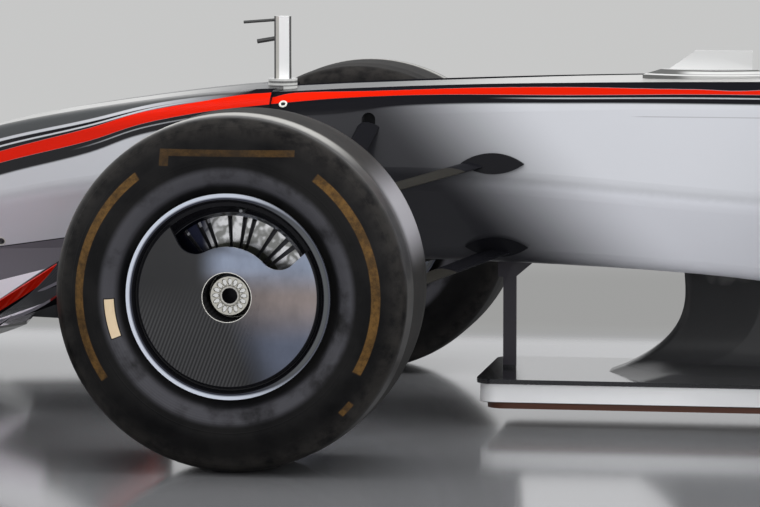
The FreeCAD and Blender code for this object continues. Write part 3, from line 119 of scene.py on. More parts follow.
front_axle = middle_of("front_tyre_left")
rear_axle = middle_of("rear_tyre_left")
AXLE_X = front_axle.x
AXLE_FOOT = (AXLE_X, 0, 0)
HALF_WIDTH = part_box("front_tyre_left")[1].y
SIDES = (("left", 1), ("right", -1))
ENDS = (("front", front_axle), ("rear", rear_axle))
# How far a mask's edge is softened, unless a step is given with it
SOFT_STEP = 0.0006


def tone(colour, share):
    """A colour made darker or lighter."""
    return tuple(min(1, c * share) for c in colour)


class Graph:
    """A node tree of a material or the world. Values may be numbers, colours or another node's output."""

    def __init__(self, owner, shader, **constants):
        owner.use_nodes = True
        self.material = owner
        self.tree = owner.node_tree
        self.shader = self.tree.nodes[shader]
        self.set(self.shader, constants)

    def set(self, node, values):
        for key, value in values.items():
            socket = node.inputs[key.replace("_", " ") if isinstance(key, str) else key]
            if isinstance(value, bpy.types.NodeSocket):
                self.tree.links.new(value, socket)
            elif isinstance(value, tuple) and len(value) == 3 and socket.type == "RGBA":
                socket.default_value = (*value, 1)
            else:
                socket.default_value = value

    def node(self, kind, settings=(), values=()):
        node = self.tree.nodes.new("ShaderNode" + kind)
        for key, value in dict(settings).items():
            setattr(node, key, value)
        self.set(node, dict(values))
        return node

    def add(self, kind, settings=(), values=(), output=0):
        return self.node(kind, settings, values).outputs[output]

    def math(self, operation, *terms):
        return self.add("Math", {"operation": operation}, dict(enumerate(terms)))

    def plus(self, first, second):
        return self.math("ADD", first, second)

    def minus(self, first, second):
        return self.math("SUBTRACT", first, second)

    def size(self, value):
        return self.math("ABSOLUTE", value)

    def length(self, first, second):
        return self.math("SQRT", self.plus(self.product(first, first), self.product(second, second)))

    def product(self, first, *others):
        for other in others:
            first = self.math("MULTIPLY", first, other)
        return first

    def either(self, first, *others):
        for other in others:
            first = self.math("MAXIMUM", first, other)
        return first

    def outside(self, mask):
        return self.minus(1, mask)

    def above(self, value, limit, soft=SOFT_STEP):
        """1 where the value is over the limit, 0 under it, with a soft step."""
        return self.add("MapRange", {"interpolation_type": "SMOOTHSTEP"},
                        {0: self.minus(value, limit), 1: -soft, 2: soft})

    def between(self, value, low, high, soft=SOFT_STEP):
        return self.product(self.above(value, low, soft), self.outside(self.above(value, high, soft)))

    def near(self, value, middle, half, soft=SOFT_STEP):
        """1 where the value is within half a band's width of its middle."""
        return self.between(value, middle - half, middle + half, soft)

    def mix(self, factor, first, second):
        return self.add("Mix", {"data_type": "RGBA"}, {0: factor, 6: first, 7: second}, 2)

    def layers(self, colour, *over):
        """The colour under further layers of (mask, colour), the last on top."""
        for mask, other in over:
            colour = self.mix(mask, colour, other)
        return colour

    def blend(self, factor, first, second):
        return self.add("Mix", {"data_type": "FLOAT"}, {0: factor, 2: first, 3: second})

    def place(self, origin=(0, 0, 0)):
        """The piece's own coordinates about an origin, as x, y and z."""
        where = self.add("TexCoord", output=3)
        self.where = self.add("VectorMath", {"operation": "SUBTRACT"}, {0: where, 1: tuple(origin)})
        return self.axes(self.where)

    def noise(self, scale, detail=4.0, roughness=0.55, stretch=None):
        where = self.where
        if stretch:
            where = self.add("VectorMath", {"operation": "MULTIPLY"}, {0: where, 1: stretch})
        return self.add("TexNoise", {}, {"Vector": where, "Scale": scale, "Detail": detail, "Roughness": roughness})

    def line(self, value, points):
        """A smooth line through (place, height) points, read at the value."""
        places, heights = zip(*points)
        low, span = min(heights), max(heights) - min(heights)
        reach = places[-1] - places[0]
        share = self.add("MapRange", {}, {0: value, 1: places[0], 2: places[-1]})
        node = self.node("FloatCurve", {}, {1: share})
        curve = node.mapping.curves[0]
        shares = [((place - places[0]) / reach, (height - low) / span) for place, height in points]
        for place, height in shares[1:-1]:
            curve.points.new(place, height)
        curve.points[0].location = shares[0]
        curve.points[-1].location = shares[-1]
        node.mapping.update()
        return self.math("MULTIPLY_ADD", node.outputs[0], span, low)

    def bump(self, height, distance, strength=1.0):
        return self.add("Bump", {}, {"Height": height, "Distance": distance, "Strength": strength})

    def axes(self, vector):
        """The x, y and z of a vector."""
        return self.node("SeparateXYZ", {}, {0: vector}).outputs

    def facing(self):
        """The x, y and z of the way that the surface faces."""
        return self.axes(self.add("NewGeometry", output=1))

    def sharp(self, limit=0.54, soft=0.02):
        """1 along the outer edges of the form."""
        return self.above(self.add("NewGeometry", output=7), limit, soft)

    def shown(self):
        """1 for what is seen straight, mirrored or through glass, 0 for the light that falls on things."""
        path = self.node("LightPath")
        return self.either(*[path.outputs[f"Is {kind} Ray"] for kind in ("Camera", "Glossy", "Transmission")])

    def finish(self, **values):
        self.set(self.shader, values)
        return self.material


def paint(name, **constants):
    """The graph of a new material, with what is the same all over it."""
    return Graph(bpy.data.materials.new(name), "Principled BSDF", **constants)


TWILL_TOW = 0.0016


def weave(g, x, y, z, tow=TWILL_TOW):
    """A two-by-two twill: 1 where the warp lies on top."""
    u, v = [g.math("FLOOR", g.math("DIVIDE", g.plus(along, y), tow)) for along in (x, z)]
    return g.math("LESS_THAN", g.math("FLOORED_MODULO", g.plus(u, v), 4), 2)


def carbon(name, coat=1.0, warp=CARBON_WARP, weft=CARBON_WEFT, rough=0.32):
    """Lacquered carbon cloth, a little dusty."""
    g = paint(name, Coat_Weight=coat, Coat_Roughness=0.03, Metallic=0.2)
    over = weave(g, *g.place())
    dirt = g.noise(9)
    dusty = g.product(g.above(dirt, 0.6, 0.15), 0.25)
    return g.finish(Base_Color=g.layers(weft, (over, warp), (dusty, DUST)), Normal=g.bump(over, 0.00004, 0.35),
                    Roughness=g.blend(dirt, rough - 0.08, rough + 0.12))


# The car's edge lines: distance ahead of the front axle, and there the heights of the red line's top and foot
# and of the black band's foot
EDGE_ROWS = ((-3.40, 0.44, 0.43, 0.415), (-2.60, 0.585, 0.573, 0.555), (-1.90, 0.655, 0.645, 0.632),
             (-0.86, 0.6618, 0.6531, 0.6348), (-0.55, 0.6615, 0.6479, 0.6325), (-0.23, 0.6543, 0.6435, 0.6246),
             (-0.07, None, None, 0.6050), (0.06, 0.640, 0.6217, 0.598), (0.25, 0.6154, 0.5938, 0.5730),
             (0.42, 0.5689, 0.5441, 0.5205), (0.59, 0.5236, 0.5007, 0.4764), (0.85, 0.440, 0.415, 0.386),
             (1.05, 0.345, 0.325, 0.300))
RED_TOP, RED_FOOT, BAND_FOOT = [[(row[0], row[i]) for row in EDGE_ROWS if row[i]] for i in (1, 2, 3)]
# The bright pins above the red line, as (distance ahead, height)
UPPER_PIN = ((0.10, 0.6395), (0.25, 0.6229), (0.42, 0.5837), (0.59, 0.5455), (0.85, 0.466), (1.05, 0.370))
LOWER_PIN = ((0.10, 0.6365), (0.25, 0.6181), (0.42, 0.5742), (0.59, 0.5331), (0.85, 0.452), (1.05, 0.356))
# Where the black edge and the red line end on the roof, as distances out from the middle
EDGE_OUT = ((-3.40, 0.02), (-2.10, 0.08), (-1.75, 0.19), (-1.45, 0.165), (-0.86, 0.125), (-0.55, 0.105),
            (-0.23, 0.078), (0.06, 0.085), (0.25, 0.078), (0.42, 0.088), (0.59, 0.115), (0.85, 0.085), (1.05, 0.045))
RED_OUT = ((-3.40, 0.0), (-2.10, 0.08), (-1.30, 0.20), (-0.903, 0.2005), (-0.789, 0.189), (-0.673, 0.179),
           (-0.517, 0.1653), (-0.347, 0.1562), (-0.177, 0.1526), (-0.0845, 0.1467), (-0.004, 0.1395), (0.058, 0.158),
           (0.25, 0.155), (0.42, 0.12), (0.85, 0.04), (1.05, 0.0))
# How far the red line climbs over its top edge, and where that ends
RED_ROOF, ROOF_END = 0.004, (0.14, 0.05)
# Half the width of each bright pin, where the pins start, and the black band's height on the engine cover
UPPER_PIN_HALF, LOWER_PIN_HALF, PINS_START, COVER_BAND = 0.0028, 0.0016, (0.12, 0.03), 0.030
# The pale pin in the black band: its height's share, half its width, its strength, and where it shows
BAND_PIN_SHARE, BAND_PIN_HALF, BAND_PIN_STRENGTH = 0.62, 0.0012, 0.55
BAND_PIN_BEHIND, BAND_PIN_AHEAD, BAND_PIN_SOFT = -0.45, (0.14, 0.40), (0.08, 0.05)
# The joint of nose and cell, half a seam's width, and where painted shade darkens the nose towards its tip
JOINT_AHEAD, SEAM_HALF, NOSE_PAINTED_SHADE = 0.048, 0.0010, (0.30, 0.25)
CELL_SEAM, CELL_SEAM_FROM, CELL_SEAM_HALF = ((-1.30, 0.613), (-0.66, 0.6095)), -0.67, 0.0008
# Painted shade round the front wheel, standing for the tyre's dark reflection in the lacquer: where it fades behind
# and ahead of the axle, each with its soft step, and the height from which its rear edge leans
SHADE_BEHIND, SHADE_AHEAD, SHADE_HEIGHT, SHADE_STRENGTH = (0.315, 0.185), (0.20, 0.15), 0.62, 0.985
# The nose's lower seam, from its front to the wheel: distance ahead of the axle and height, and the reach of the
# painted shade on the pylons under it
NOSE_SEAM, PYLON_BEHIND, PYLON_FRONT = ((0.5984, 0.3323), (0.4815, 0.3501)), 0.12, 1.02
# How level a face is where it counts as underside, lifted with painted light, as top, darkened with painted shade, or
# as matt paint, each with its soft step
UNDERSIDE, TOP_SHADE_FACING, MATT_TOP = (-0.12, 0.16), (0.93, 0.05), (0.55, 0.25)
# Where the line's red darkens behind the axle, and the heights between which the cell's inside has only side walls
TUB_START, CELL_FLOOR_TOP, CELL_ROOF_FOOT = (-0.15, 0.4), 0.45, 0.55


def edge_lines(g, x, y, z, pins=True):
    """Masks of the red line, the black beside it and the shoulder above it, which takes a painted dark reflection."""
    out = g.size(y)
    red_top, red_foot, band_foot = [g.line(x, points) for points in (RED_TOP, RED_FOOT, BAND_FOOT)]
    roof = g.plus(red_top, g.blend(g.above(x, *ROOF_END), RED_ROOF, 0.0)) if pins else red_top
    red = g.product(g.between(z, red_foot, roof), g.above(out, g.line(x, RED_OUT), 0.0012))
    pin = g.minus(z, g.blend(BAND_PIN_SHARE, band_foot, red_foot))
    pin = g.product(g.near(pin, 0, BAND_PIN_HALF), BAND_PIN_STRENGTH,
                    g.either(g.above(BAND_PIN_BEHIND, x, BAND_PIN_SOFT[0]),
                             g.between(x, *BAND_PIN_AHEAD, BAND_PIN_SOFT[1])))
    band = g.product(g.above(z, band_foot, 0.0025), g.above(red_foot, z), g.outside(pin))
    if not pins:
        return red, g.either(band, g.between(z, red_top, g.plus(red_top, COVER_BAND))), 0.0
    edge = g.product(g.above(z, red_foot), g.outside(red), g.above(out, g.line(x, EDGE_OUT), 0.004))
    ahead = g.above(x, *PINS_START)
    upper_pin, lower_pin = [g.minus(z, g.line(x, points)) for points in (UPPER_PIN, LOWER_PIN)]
    bright = g.either(g.near(upper_pin, 0, UPPER_PIN_HALF), g.near(lower_pin, 0, LOWER_PIN_HALF))
    shoulder = g.product(edge, ahead, g.above(upper_pin, UPPER_PIN_HALF))
    black = g.product(edge, g.outside(shoulder), g.outside(g.product(bright, ahead)))
    return red, g.either(band, black), shoulder


def painted_wheel_shade(g, x, z):
    """1 where the painted shade on the silver is darkest, round the front wheel."""
    behind = g.minus(g.product(x, -1), g.minus(SHADE_HEIGHT, z))
    (rear, rear_soft), (front, front_soft) = SHADE_BEHIND, SHADE_AHEAD
    return g.product(g.above(rear, behind, rear_soft), g.above(front, x, front_soft), SHADE_STRENGTH)


def pylon_masks(g, x, z):
    """Painted shade on the wing's pylons under the nose's lower seam, and the seam itself."""
    (front_x, front_z), (rear_x, rear_z) = NOSE_SEAM
    slope = (rear_z - front_z) / (rear_x - front_x)
    over = g.minus(z, g.math("MULTIPLY_ADD", x, slope, front_z - slope * front_x))
    here = g.product(g.above(x, rear_x - PYLON_BEHIND, 0.001), g.above(PYLON_FRONT, x, 0.05))
    return g.product(g.above(0, over), here), g.product(g.near(over, 0, SEAM_HALF), here)


def body_paint(name, seams_x=(), inside=None, lines="edge", shaded=False, nose=False):
    """Silver lacquer with the red line, its dark edges and the panel seams, and a dark inside, with painted light and
    painted shade.
    """
    g = paint(name, Coat_Roughness=0.03)
    x, y, z = g.place(AXLE_FOOT)
    flake = g.noise(900, 1)
    face_z = g.facing()[2]
    under = g.above(UNDERSIDE[0], face_z, UNDERSIDE[1])
    colour = g.mix(g.noise(3), tone(SILVER, 0.95), SILVER)
    # Painted shade on the nose towards its tip
    if nose:
        colour = g.mix(g.above(x, *NOSE_PAINTED_SHADE), colour, tone(SILVER, 0.86))
    # Painted light on faces that look down, and painted shade on faces that look straight up
    colour = g.layers(colour, (under, tone(UNDERSIDE_PAINTED_LIGHT_SILVER, 0.8 if nose else 1)),
                      (g.above(face_z, *TOP_SHADE_FACING), TOP_PAINTED_SHADE_SILVER))
    # Painted shade round the front wheel, for the tyre's dark reflection in the lacquer
    if shaded:
        colour = g.mix(painted_wheel_shade(g, x, z), colour, PAINTED_SHADE_SILVER)
    dark = red = pylon = walls = 0.0
    if lines:
        red, dark, shoulder = edge_lines(g, x, y, z, lines == "edge")
        # A dark reflection painted on the shoulder above the pins
        colour = g.mix(g.product(shoulder, 0.92), colour, SHOULDER_PAINTED_REFLECTION)
    if nose:
        pylon, seam = pylon_masks(g, x, z)
        # Painted shade on the pylons under the seam
        colour = g.mix(pylon, colour, PYLON_SHADE_AND_SEAM_GREY)
        dark = g.either(dark, seam)
    elif lines == "edge":
        seam = g.near(g.minus(z, g.line(x, CELL_SEAM)), 0, CELL_SEAM_HALF, 0.0005)
        colour = g.mix(g.product(seam, g.above(CELL_SEAM_FROM, x, 0.02), 0.45), colour, PYLON_SHADE_AND_SEAM_GREY)
    for seam in seams_x:
        dark = g.either(dark, g.near(x, seam, SEAM_HALF, 0.0003))
    if inside:
        walls = inside(g, x, y, z)
        dark, red = g.product(dark, g.outside(walls)), g.product(red, g.outside(walls))
        colour = g.mix(walls, colour, INSIDE_GREY)
    lacquer = g.mix(g.above(TUB_START[0], x, TUB_START[1]), RED, TUB_RED)
    painted = g.either(dark, red)
    bare = g.outside(g.either(painted, pylon, under, walls))
    gloss = g.outside(g.either(g.product(painted, g.above(face_z, *MATT_TOP)), g.product(red, 0.7)))
    return g.finish(Base_Color=g.layers(colour, (red, lacquer), (dark, BLACK)), Metallic=g.product(bare, 0.30),
                    Coat_Weight=g.product(gloss, g.blend(painted, 0.22, 0.15)),
                    Specular_IOR_Level=g.product(gloss, g.blend(painted, 0.45, 0.18)),
                    Roughness=g.blend(painted, g.blend(flake, 0.36, 0.44), 0.22),
                    Normal=g.bump(flake, 0.00003, 0.10))


def cell_inside(g, x, y, z):
    """1 on the walls that look into the survival cell."""
    face_x, face_y, face_z = g.facing()
    inward = g.above(-0.15, g.product(face_y, g.math("SIGN", y)), 0.05)
    floor_side = g.product(g.above(face_z, 0.3, 0.05), g.above(CELL_FLOOR_TOP, z))
    roof_side = g.product(g.above(-0.3, face_z, 0.05), g.above(z, CELL_ROOF_FOOT))
    return g.either(inward, floor_side, roof_side, g.above(g.size(face_x), 0.93, 0.02))


def duct_inside(middle_y, middle_z, rear_x):
    """1 on the walls that look into a duct, ahead of its end."""
    def mask(g, x, y, z):
        _, face_y, face_z = g.facing()
        across = g.product(g.minus(g.size(y), middle_y), g.math("SIGN", y), face_y)
        up = g.product(g.minus(z, middle_z), face_z)
        return g.product(g.above(0, g.plus(across, up), 0.004), g.above(x, rear_x))
    return mask


def gloss_paint(name, colour):
    g = paint(name, Coat_Weight=1.0, Coat_Roughness=0.03)
    g.place()
    cloud = g.noise(14)
    return g.finish(Base_Color=g.mix(cloud, tone(colour, 0.93), colour), Roughness=g.blend(cloud, 0.22, 0.34),
                    Normal=g.bump(g.noise(600, 1), 0.00003, 0.15))


def metal(name, colour, rough=0.3):
    """Bare metal with fine marks all over."""
    g = paint(name, Metallic=1.0)
    g.place()
    marks = g.noise(240, 3)
    return g.finish(Base_Color=g.mix(g.noise(18), tone(colour, 0.82), colour),
                    Roughness=g.blend(marks, rough * 0.75, rough * 1.25), Normal=g.bump(marks, 0.00006, 0.25))


def wheel_place(g, axle):
    """Coordinates on a wheel: x and z from its axle, the distance out, the radius, and the angle up from ahead."""
    x, y, z = g.place((axle.x, 0, axle.z))
    return x, g.size(y), z, g.length(x, z), g.math("ARCTAN2", z, x)


def degrees_between(g, angle, low, high, soft=0.4):
    return g.between(angle, math.radians(low), math.radians(high), math.radians(soft))


# The tyre's painted arcs, hooked bars and dash, its blank label and its moulded marks, as radii and degrees
ARC_RADIUS, ARC_HALF = 0.2715, 0.0078
FRONT_ARC, REAR_ARC = (-34, 53), (126.5, 209.5)
BAR_REACH, BAR_LOW, BAR_HIGH = 0.123, 0.2545, 0.2665
BRACKET_IN, BRACKET_LOW = 0.106, 0.2365
DASH_RADII, DASH_TURN = (0.2880, 0.2990), (-140.0, -134.5)
LABEL_RADIUS, LABEL_HALF, LABEL_TURN, LABEL_EDGE = 0.2165, 0.0080, (-20.4, -1.8), 0.0018
SIDEWALL_OUT, SHOULDER_IN = 0.10, 0.030
RIB_PITCH, RIBBED = 0.0045, (0.204, 0.232)
# Which way the tread faces where a painted highlight, for the walls' reflection, lies on it
TREAD_BEHIND, TREAD_HEIGHTS = -0.72, (0.24, 0.62)
# The band across the tread where a painted highlight lies along the crown
CROWN_LINE = (HALF_WIDTH - 0.112, HALF_WIDTH - 0.068)
MOULD_RINGS, MOULD_RING_HALF = (0.2465, 0.2860, 0.3065), 0.0010
PAINT_SOFT = 0.0008


def rubber(name, axle):
    """A used slick: worn gloss sidewall, faint moulded rings with a painted sheen, rubbed painted arcs, and painted
    highlights along its crown and tread.
    """
    g = paint(name, Specular_IOR_Level=0.12)
    x, out, z, radius, angle = wheel_place(g, axle)
    face_x, face_y, face_z = g.facing()
    wall = g.above(out, HALF_WIDTH - SIDEWALL_OUT, 0.004)
    wear, smear, fine = g.noise(34, 6, 0.7), g.noise(9, 5, 0.6), g.noise(150, 4, 0.7)
    back_angle = g.math("FLOORED_MODULO", angle, 2 * math.pi)
    arcs = g.product(g.near(radius, ARC_RADIUS, ARC_HALF, PAINT_SOFT),
                     g.either(degrees_between(g, angle, *FRONT_ARC), degrees_between(g, back_angle, *REAR_ARC)))
    bar = g.product(g.between(z, BAR_LOW, BAR_HIGH, PAINT_SOFT), g.above(BAR_REACH, g.size(x), PAINT_SOFT))
    hook = g.product(g.between(z, BRACKET_LOW, BAR_HIGH, PAINT_SOFT), g.between(x, BRACKET_IN, BAR_REACH, PAINT_SOFT))
    dash = g.product(g.between(radius, *DASH_RADII, PAINT_SOFT), degrees_between(g, angle, *DASH_TURN))
    rubbed = g.product(g.blend(g.above(wear, 0.50, 0.14), 0.95, 0.42), g.blend(g.above(fine, 0.55, 0.10), 1.0, 0.72))
    gold = g.product(g.either(arcs, g.product(g.either(bar, hook), 0.40), dash), wall, rubbed)
    worn = g.product(g.above(smear, 0.48, 0.16), 0.75)
    # A painted sheen on the ribbed band
    band = g.product(g.between(radius, *RIBBED, 0.007), g.above(g.noise(14, 4, 0.6), 0.40, 0.16), 0.80)
    dusty = g.product(g.above(radius, axle.z - SHOULDER_IN, 0.020), g.above(wear, 0.46, 0.16), 0.18)
    # A painted highlight along the crown
    crown = g.product(g.between(out, *CROWN_LINE, 0.012), g.above(face_z, 0.80, 0.12), 0.65)
    # A painted highlight where the tread faces back and up
    tread = g.product(g.above(TREAD_BEHIND, face_x, 0.14), g.between(face_z, *TREAD_HEIGHTS, 0.14),
                      g.above(0.2, g.size(face_y), 0.1), g.above(CROWN_LINE[0], out, 0.03), 0.72)
    first, last = LABEL_TURN
    outline = g.product(g.near(radius, LABEL_RADIUS, LABEL_HALF + LABEL_EDGE, 0.0004),
                        degrees_between(g, angle, first - 0.5, last + 0.5, 0.15), wall)
    label = g.product(g.near(radius, LABEL_RADIUS, LABEL_HALF, 0.0005), degrees_between(g, angle, first, last, 0.15),
                      wall)
    colour = g.layers(RUBBER, (worn, RUBBER_WORN), (band, SIDEWALL_RIB_SHEEN), (dusty, DUST),
                      (gold, g.mix(wear, GOLD, tone(GOLD, 0.55))), (crown, CROWN_HIGHLIGHT), (tread, TREAD_HIGHLIGHT),
                      (outline, BLACK), (label, g.mix(wear, LABEL, LABEL_STAINED)))
    ribs = g.product(g.math("SINE", g.product(radius, 2 * math.pi / RIB_PITCH)), g.between(radius, *RIBBED, 0.004))
    rings = g.either(*[g.near(radius, ring, MOULD_RING_HALF) for ring in MOULD_RINGS])
    scrub = g.noise(120, 5, 0.7, stretch=(1, 0.25, 1))
    height = g.plus(g.product(g.plus(g.product(ribs, 0.3), rings), wall),
                    g.plus(g.product(scrub, g.blend(wall, 1.0, 0.35)), g.product(gold, 0.5)))
    return g.finish(Base_Color=colour, Normal=g.bump(height, 0.0005, 0.45),
                    Roughness=g.blend(wall, g.blend(wear, 0.52, 0.70), g.blend(smear, 0.24, 0.42)))


# The wheel nut with its bore and ring of pockets, the spoked disc, and the rim's flange
NUT_RADIUS, BORE_RADIUS, NUT_FOOT_SHARE = 0.035, 0.014, 1.24
SPOKE_DEPTH, SPOKE_HALF, NUT_HEIGHT = 0.074, 0.008, 0.032
POCKET_COUNT, POCKET_RING, POCKET_ACROSS, POCKET_OUT = 16, 0.0257, 0.0036, 0.0058
HUB_PLATE, SPOKE_TIP, FLANGE_START, FLANGE_END = (0.044, 0.093), 0.149, 0.1770, 0.1905
FLANGE_WIDE = FLANGE_END - FLANGE_START
NUT_GROOVE, BORE_DEEP, SPOKES_DEEP = (0.0176, 0.0190), 0.115, 0.1
# The flange's painted highlight shows from ahead down to this share of its radius behind the axle, with a soft step
FLANGE_LIT, RADIUS_SOFT = (-0.45, 0.45), 0.0008


def rim_paint(name, axle):
    """Satin dark wheel metal and bright spoke faces, with a painted highlight round the flange, painted shade in the
    barrel, the bore and on the disc ahead, and a pale nut with painted highlights and shade in its pockets.
    """
    g = paint(name)
    x, out, _, radius, angle = wheel_place(g, axle)
    brushed = g.noise(160, 3, stretch=(1, 0.1, 1))
    step = 2 * math.pi / POCKET_COUNT
    turn = g.minus(g.math("FLOORED_MODULO", g.plus(angle, step / 2), step), step / 2)
    across = g.math("DIVIDE", g.product(radius, turn), POCKET_ACROSS)
    along = g.math("DIVIDE", g.minus(radius, POCKET_RING), POCKET_OUT)
    from_pocket = g.length(across, along)
    # Painted shade round each pocket and in the groove, and a painted highlight inside each pocket
    line = g.either(g.between(from_pocket, 0.88, 1.16, 0.08), g.between(radius, *NUT_GROOVE, 0.0003))
    nut_face = g.layers(NUT_METAL, (line, NUT_SHADE_LINE), (g.above(0.92, from_pocket, 0.06), NUT_GLINT))
    nut = g.product(g.above(out, HALF_WIDTH - SPOKE_DEPTH + SPOKE_HALF, 0.0005),
                    g.above(NUT_RADIUS * NUT_FOOT_SHARE, radius))
    # Painted shade, black, deep in the nut's bore
    bore = g.product(g.above(BORE_RADIUS + 0.0003, radius, 0.0003), g.above(out, HALF_WIDTH - BORE_DEEP))
    outer = g.above(out, HALF_WIDTH - SPOKES_DEEP)
    disc = g.product(g.above(SPOKE_TIP, radius), outer)
    dull = g.product(g.between(g.noise(30, 2), 0.46, 0.60, 0.05), disc, 0.75)
    spokes = g.product(g.between(radius, HUB_PLATE[0], SPOKE_TIP, 0.002), outer)
    plate = g.product(g.between(radius, *HUB_PLATE, 0.001), outer)
    # Painted shade, black, in the barrel's hollow beyond the spokes
    barrel = g.product(g.between(radius, SPOKE_TIP, FLANGE_START, RADIUS_SOFT), outer)
    edge = g.above(radius, FLANGE_START, RADIUS_SOFT)
    # A painted highlight round the flange, strongest from ahead, with painted shade behind
    ahead = g.math("DIVIDE", x, radius)
    lit = g.above(ahead, *FLANGE_LIT)
    peak = g.math("MULTIPLY_ADD", lit, -FLANGE_WIDE * 0.30, FLANGE_END - FLANGE_WIDE * 0.16)
    glint = g.above(FLANGE_WIDE * 0.30, g.size(g.minus(radius, peak)), FLANGE_WIDE * 0.16)
    flange = g.layers(FLANGE_AND_DISC_SHADE, (g.product(glint, g.math("MULTIPLY_ADD", lit, 0.88, 0.12)), FLANGE_HIGHLIGHT),
                      (g.product(g.above(FLANGE_LIT[0], ahead, 0.4), g.outside(glint)), FLANGE_SHADE_BEHIND))
    colour = g.mix(g.noise(22), tone(RIM_METAL, 0.75), RIM_METAL)
    # The disc ahead of the hub takes a painted shadow
    colour = g.layers(colour, (spokes, SPOKE_METAL), (dull, HUB_OLIVE), (plate, HUB_OLIVE),
                      (g.product(g.above(x, 0.040, 0.02), disc), FLANGE_AND_DISC_SHADE), (barrel, BLACK), (edge, flange),
                      (nut, nut_face), (bore, BLACK))
    painted_light_zones = g.either(barrel, edge)
    return g.finish(Base_Color=colour, Metallic=g.product(g.outside(painted_light_zones), 0.9),
                    Roughness=g.blend(brushed, 0.16, 0.30), Specular_IOR_Level=g.blend(painted_light_zones, 0.5, 0.15),
                    Normal=g.bump(brushed, 0.00006, 0.3))


# The wheel cover's edge, painted black as shade, its cloth's pitch, and where its painted reflection has a crest, as
# heights and reach from the axle
COVER_EDGE, COVER_TOW = 0.1630, 0.0062
CREST_HEIGHTS, CREST_REACH = (0.030, 0.085), (-0.10, 0.03)


def cover_finish(name):
    """The wheel cover's polished carbon: its cloth shows low ahead, with a cloudy painted reflection behind the hub
    and painted shade at its edge.
    """
    g = paint(name, Coat_Weight=0.35, Coat_Roughness=0.07, Specular_IOR_Level=0.3)
    x, _, z, radius, _ = wheel_place(g, front_axle)
    steep = g.plus(g.product(x, 0.93), g.product(z, 0.36))
    twill = g.above(g.math("SINE", g.product(steep, 2 * math.pi / COVER_TOW)), 0.0, 0.5)
    cloud, streaks = g.noise(9), g.noise(26, 5, 0.65, stretch=(1, 1, 0.45))
    lean = g.math("MULTIPLY_ADD", z, 0.35, g.product(x, -1))
    # A painted reflection, cloudy and streaked, behind the hub, with a crest
    lit = g.product(g.above(lean, 0.022, 0.050), g.blend(g.above(cloud, 0.46, 0.22), 0.60, 1.0))
    crest = g.product(g.between(z, *CREST_HEIGHTS, 0.02), g.between(x, *CREST_REACH, 0.03), 0.9)
    painted_reflection = g.product(g.math("MINIMUM", g.either(lit, crest), 1), g.blend(streaks, 0.50, 1.0))
    tint = g.mix(g.above(z, -0.045, 0.045), REFLECTION_LOW, g.mix(g.above(z, 0.030, 0.030), REFLECTION_MIDDLE, REFLECTION_HIGH))
    seen = g.product(twill, g.above(-0.015, z, 0.05), g.above(x, -0.03, 0.03))
    # The cloth shows under the painted reflection, and the edge is painted black as shade
    colour = g.layers(COVER_DARK, (cloud, COVER_PALE), (seen, COVER_CLOTH), (painted_reflection, tint),
                      (g.above(radius, COVER_EDGE), BLACK))
    return g.finish(Base_Color=colour, Roughness=g.blend(streaks, 0.22, 0.38), Normal=g.bump(twill, 0.00002, 0.15))


def keel_finish(name):
    """Dark satin lacquer that shows its cloth only close to, with pale painted highlights along its edges."""
    g = paint(name, Coat_Weight=0.15, Coat_Roughness=0.15, Specular_IOR_Level=0.3)
    over = weave(g, *g.place())
    cloud = g.noise(6)
    # Pale painted highlights along the sharp edges
    colour = g.layers(KEEL_DARK, (cloud, KEEL_PALE), (g.product(over, 0.25), CARBON_WARP),
                      (g.product(g.sharp(0.55), 0.5), KEEL_EDGE_HIGHLIGHT))
    return g.finish(Base_Color=colour, Roughness=g.blend(cloud, 0.28, 0.42), Normal=g.bump(over, 0.00002, 0.15))


def wood(name):
    """The laminated skid plank, scuffed and oiled."""
    g = paint(name)
    g.place()
    grain = g.noise(30, 6, 0.65, stretch=(0.25, 6, 9))
    return g.finish(Base_Color=g.mix(grain, WOOD_DARK, WOOD_PALE), Roughness=g.blend(g.noise(7), 0.35, 0.6),
                    Normal=g.bump(grain, 0.0003, 0.4))


# The bright strip's top, how far behind the axle it ends, and the stay's foot
STRIP_TOP, STRIP_BEHIND, STAY_FOOT = 0.0845, 1.18, 0.100


def tray_finish(name, node):
    """Gloss black on the tray and a bright metal strip round its side."""
    low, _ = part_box(node)
    g = paint(name, Coat_Weight=0.25, Coat_Roughness=0.04, Specular_IOR_Level=0.35)
    x, y, z = g.place()
    over, wear = weave(g, x, y, z), g.noise(16, 5)
    upright = g.above(0.4, g.size(g.facing()[2]), 0.05)
    strip = g.product(upright, g.between(z, low.z + 0.001, STRIP_TOP, 0.0004),
                      g.above(x, AXLE_X - STRIP_BEHIND, 0.002))
    stay = g.product(g.above(z, STAY_FOOT), upright)
    colour = g.layers(CARBON_WEFT, (g.product(over, 0.5), CARBON_WARP), (stay, STAY_BLACK),
                      (strip, g.mix(wear, TRAY_METAL_WORN, TRAY_METAL)))
    return g.finish(Base_Color=colour, Normal=g.bump(over, 0.00003, 0.2),
                    Roughness=g.blend(strip, g.blend(stay, 0.10, 0.34), g.blend(wear, 0.14, 0.24)))


# The flaps' red trailing strips: their reach ahead of the axle above and below the upper flap, and on the lower one
UPPER_STRIP_END, UNDER_STRIP_END, LOWER_STRIP_END = 0.503, 0.498, 0.585
LOWER_FLAP_TOP, STRIP_SOFT = 0.200, 0.0008


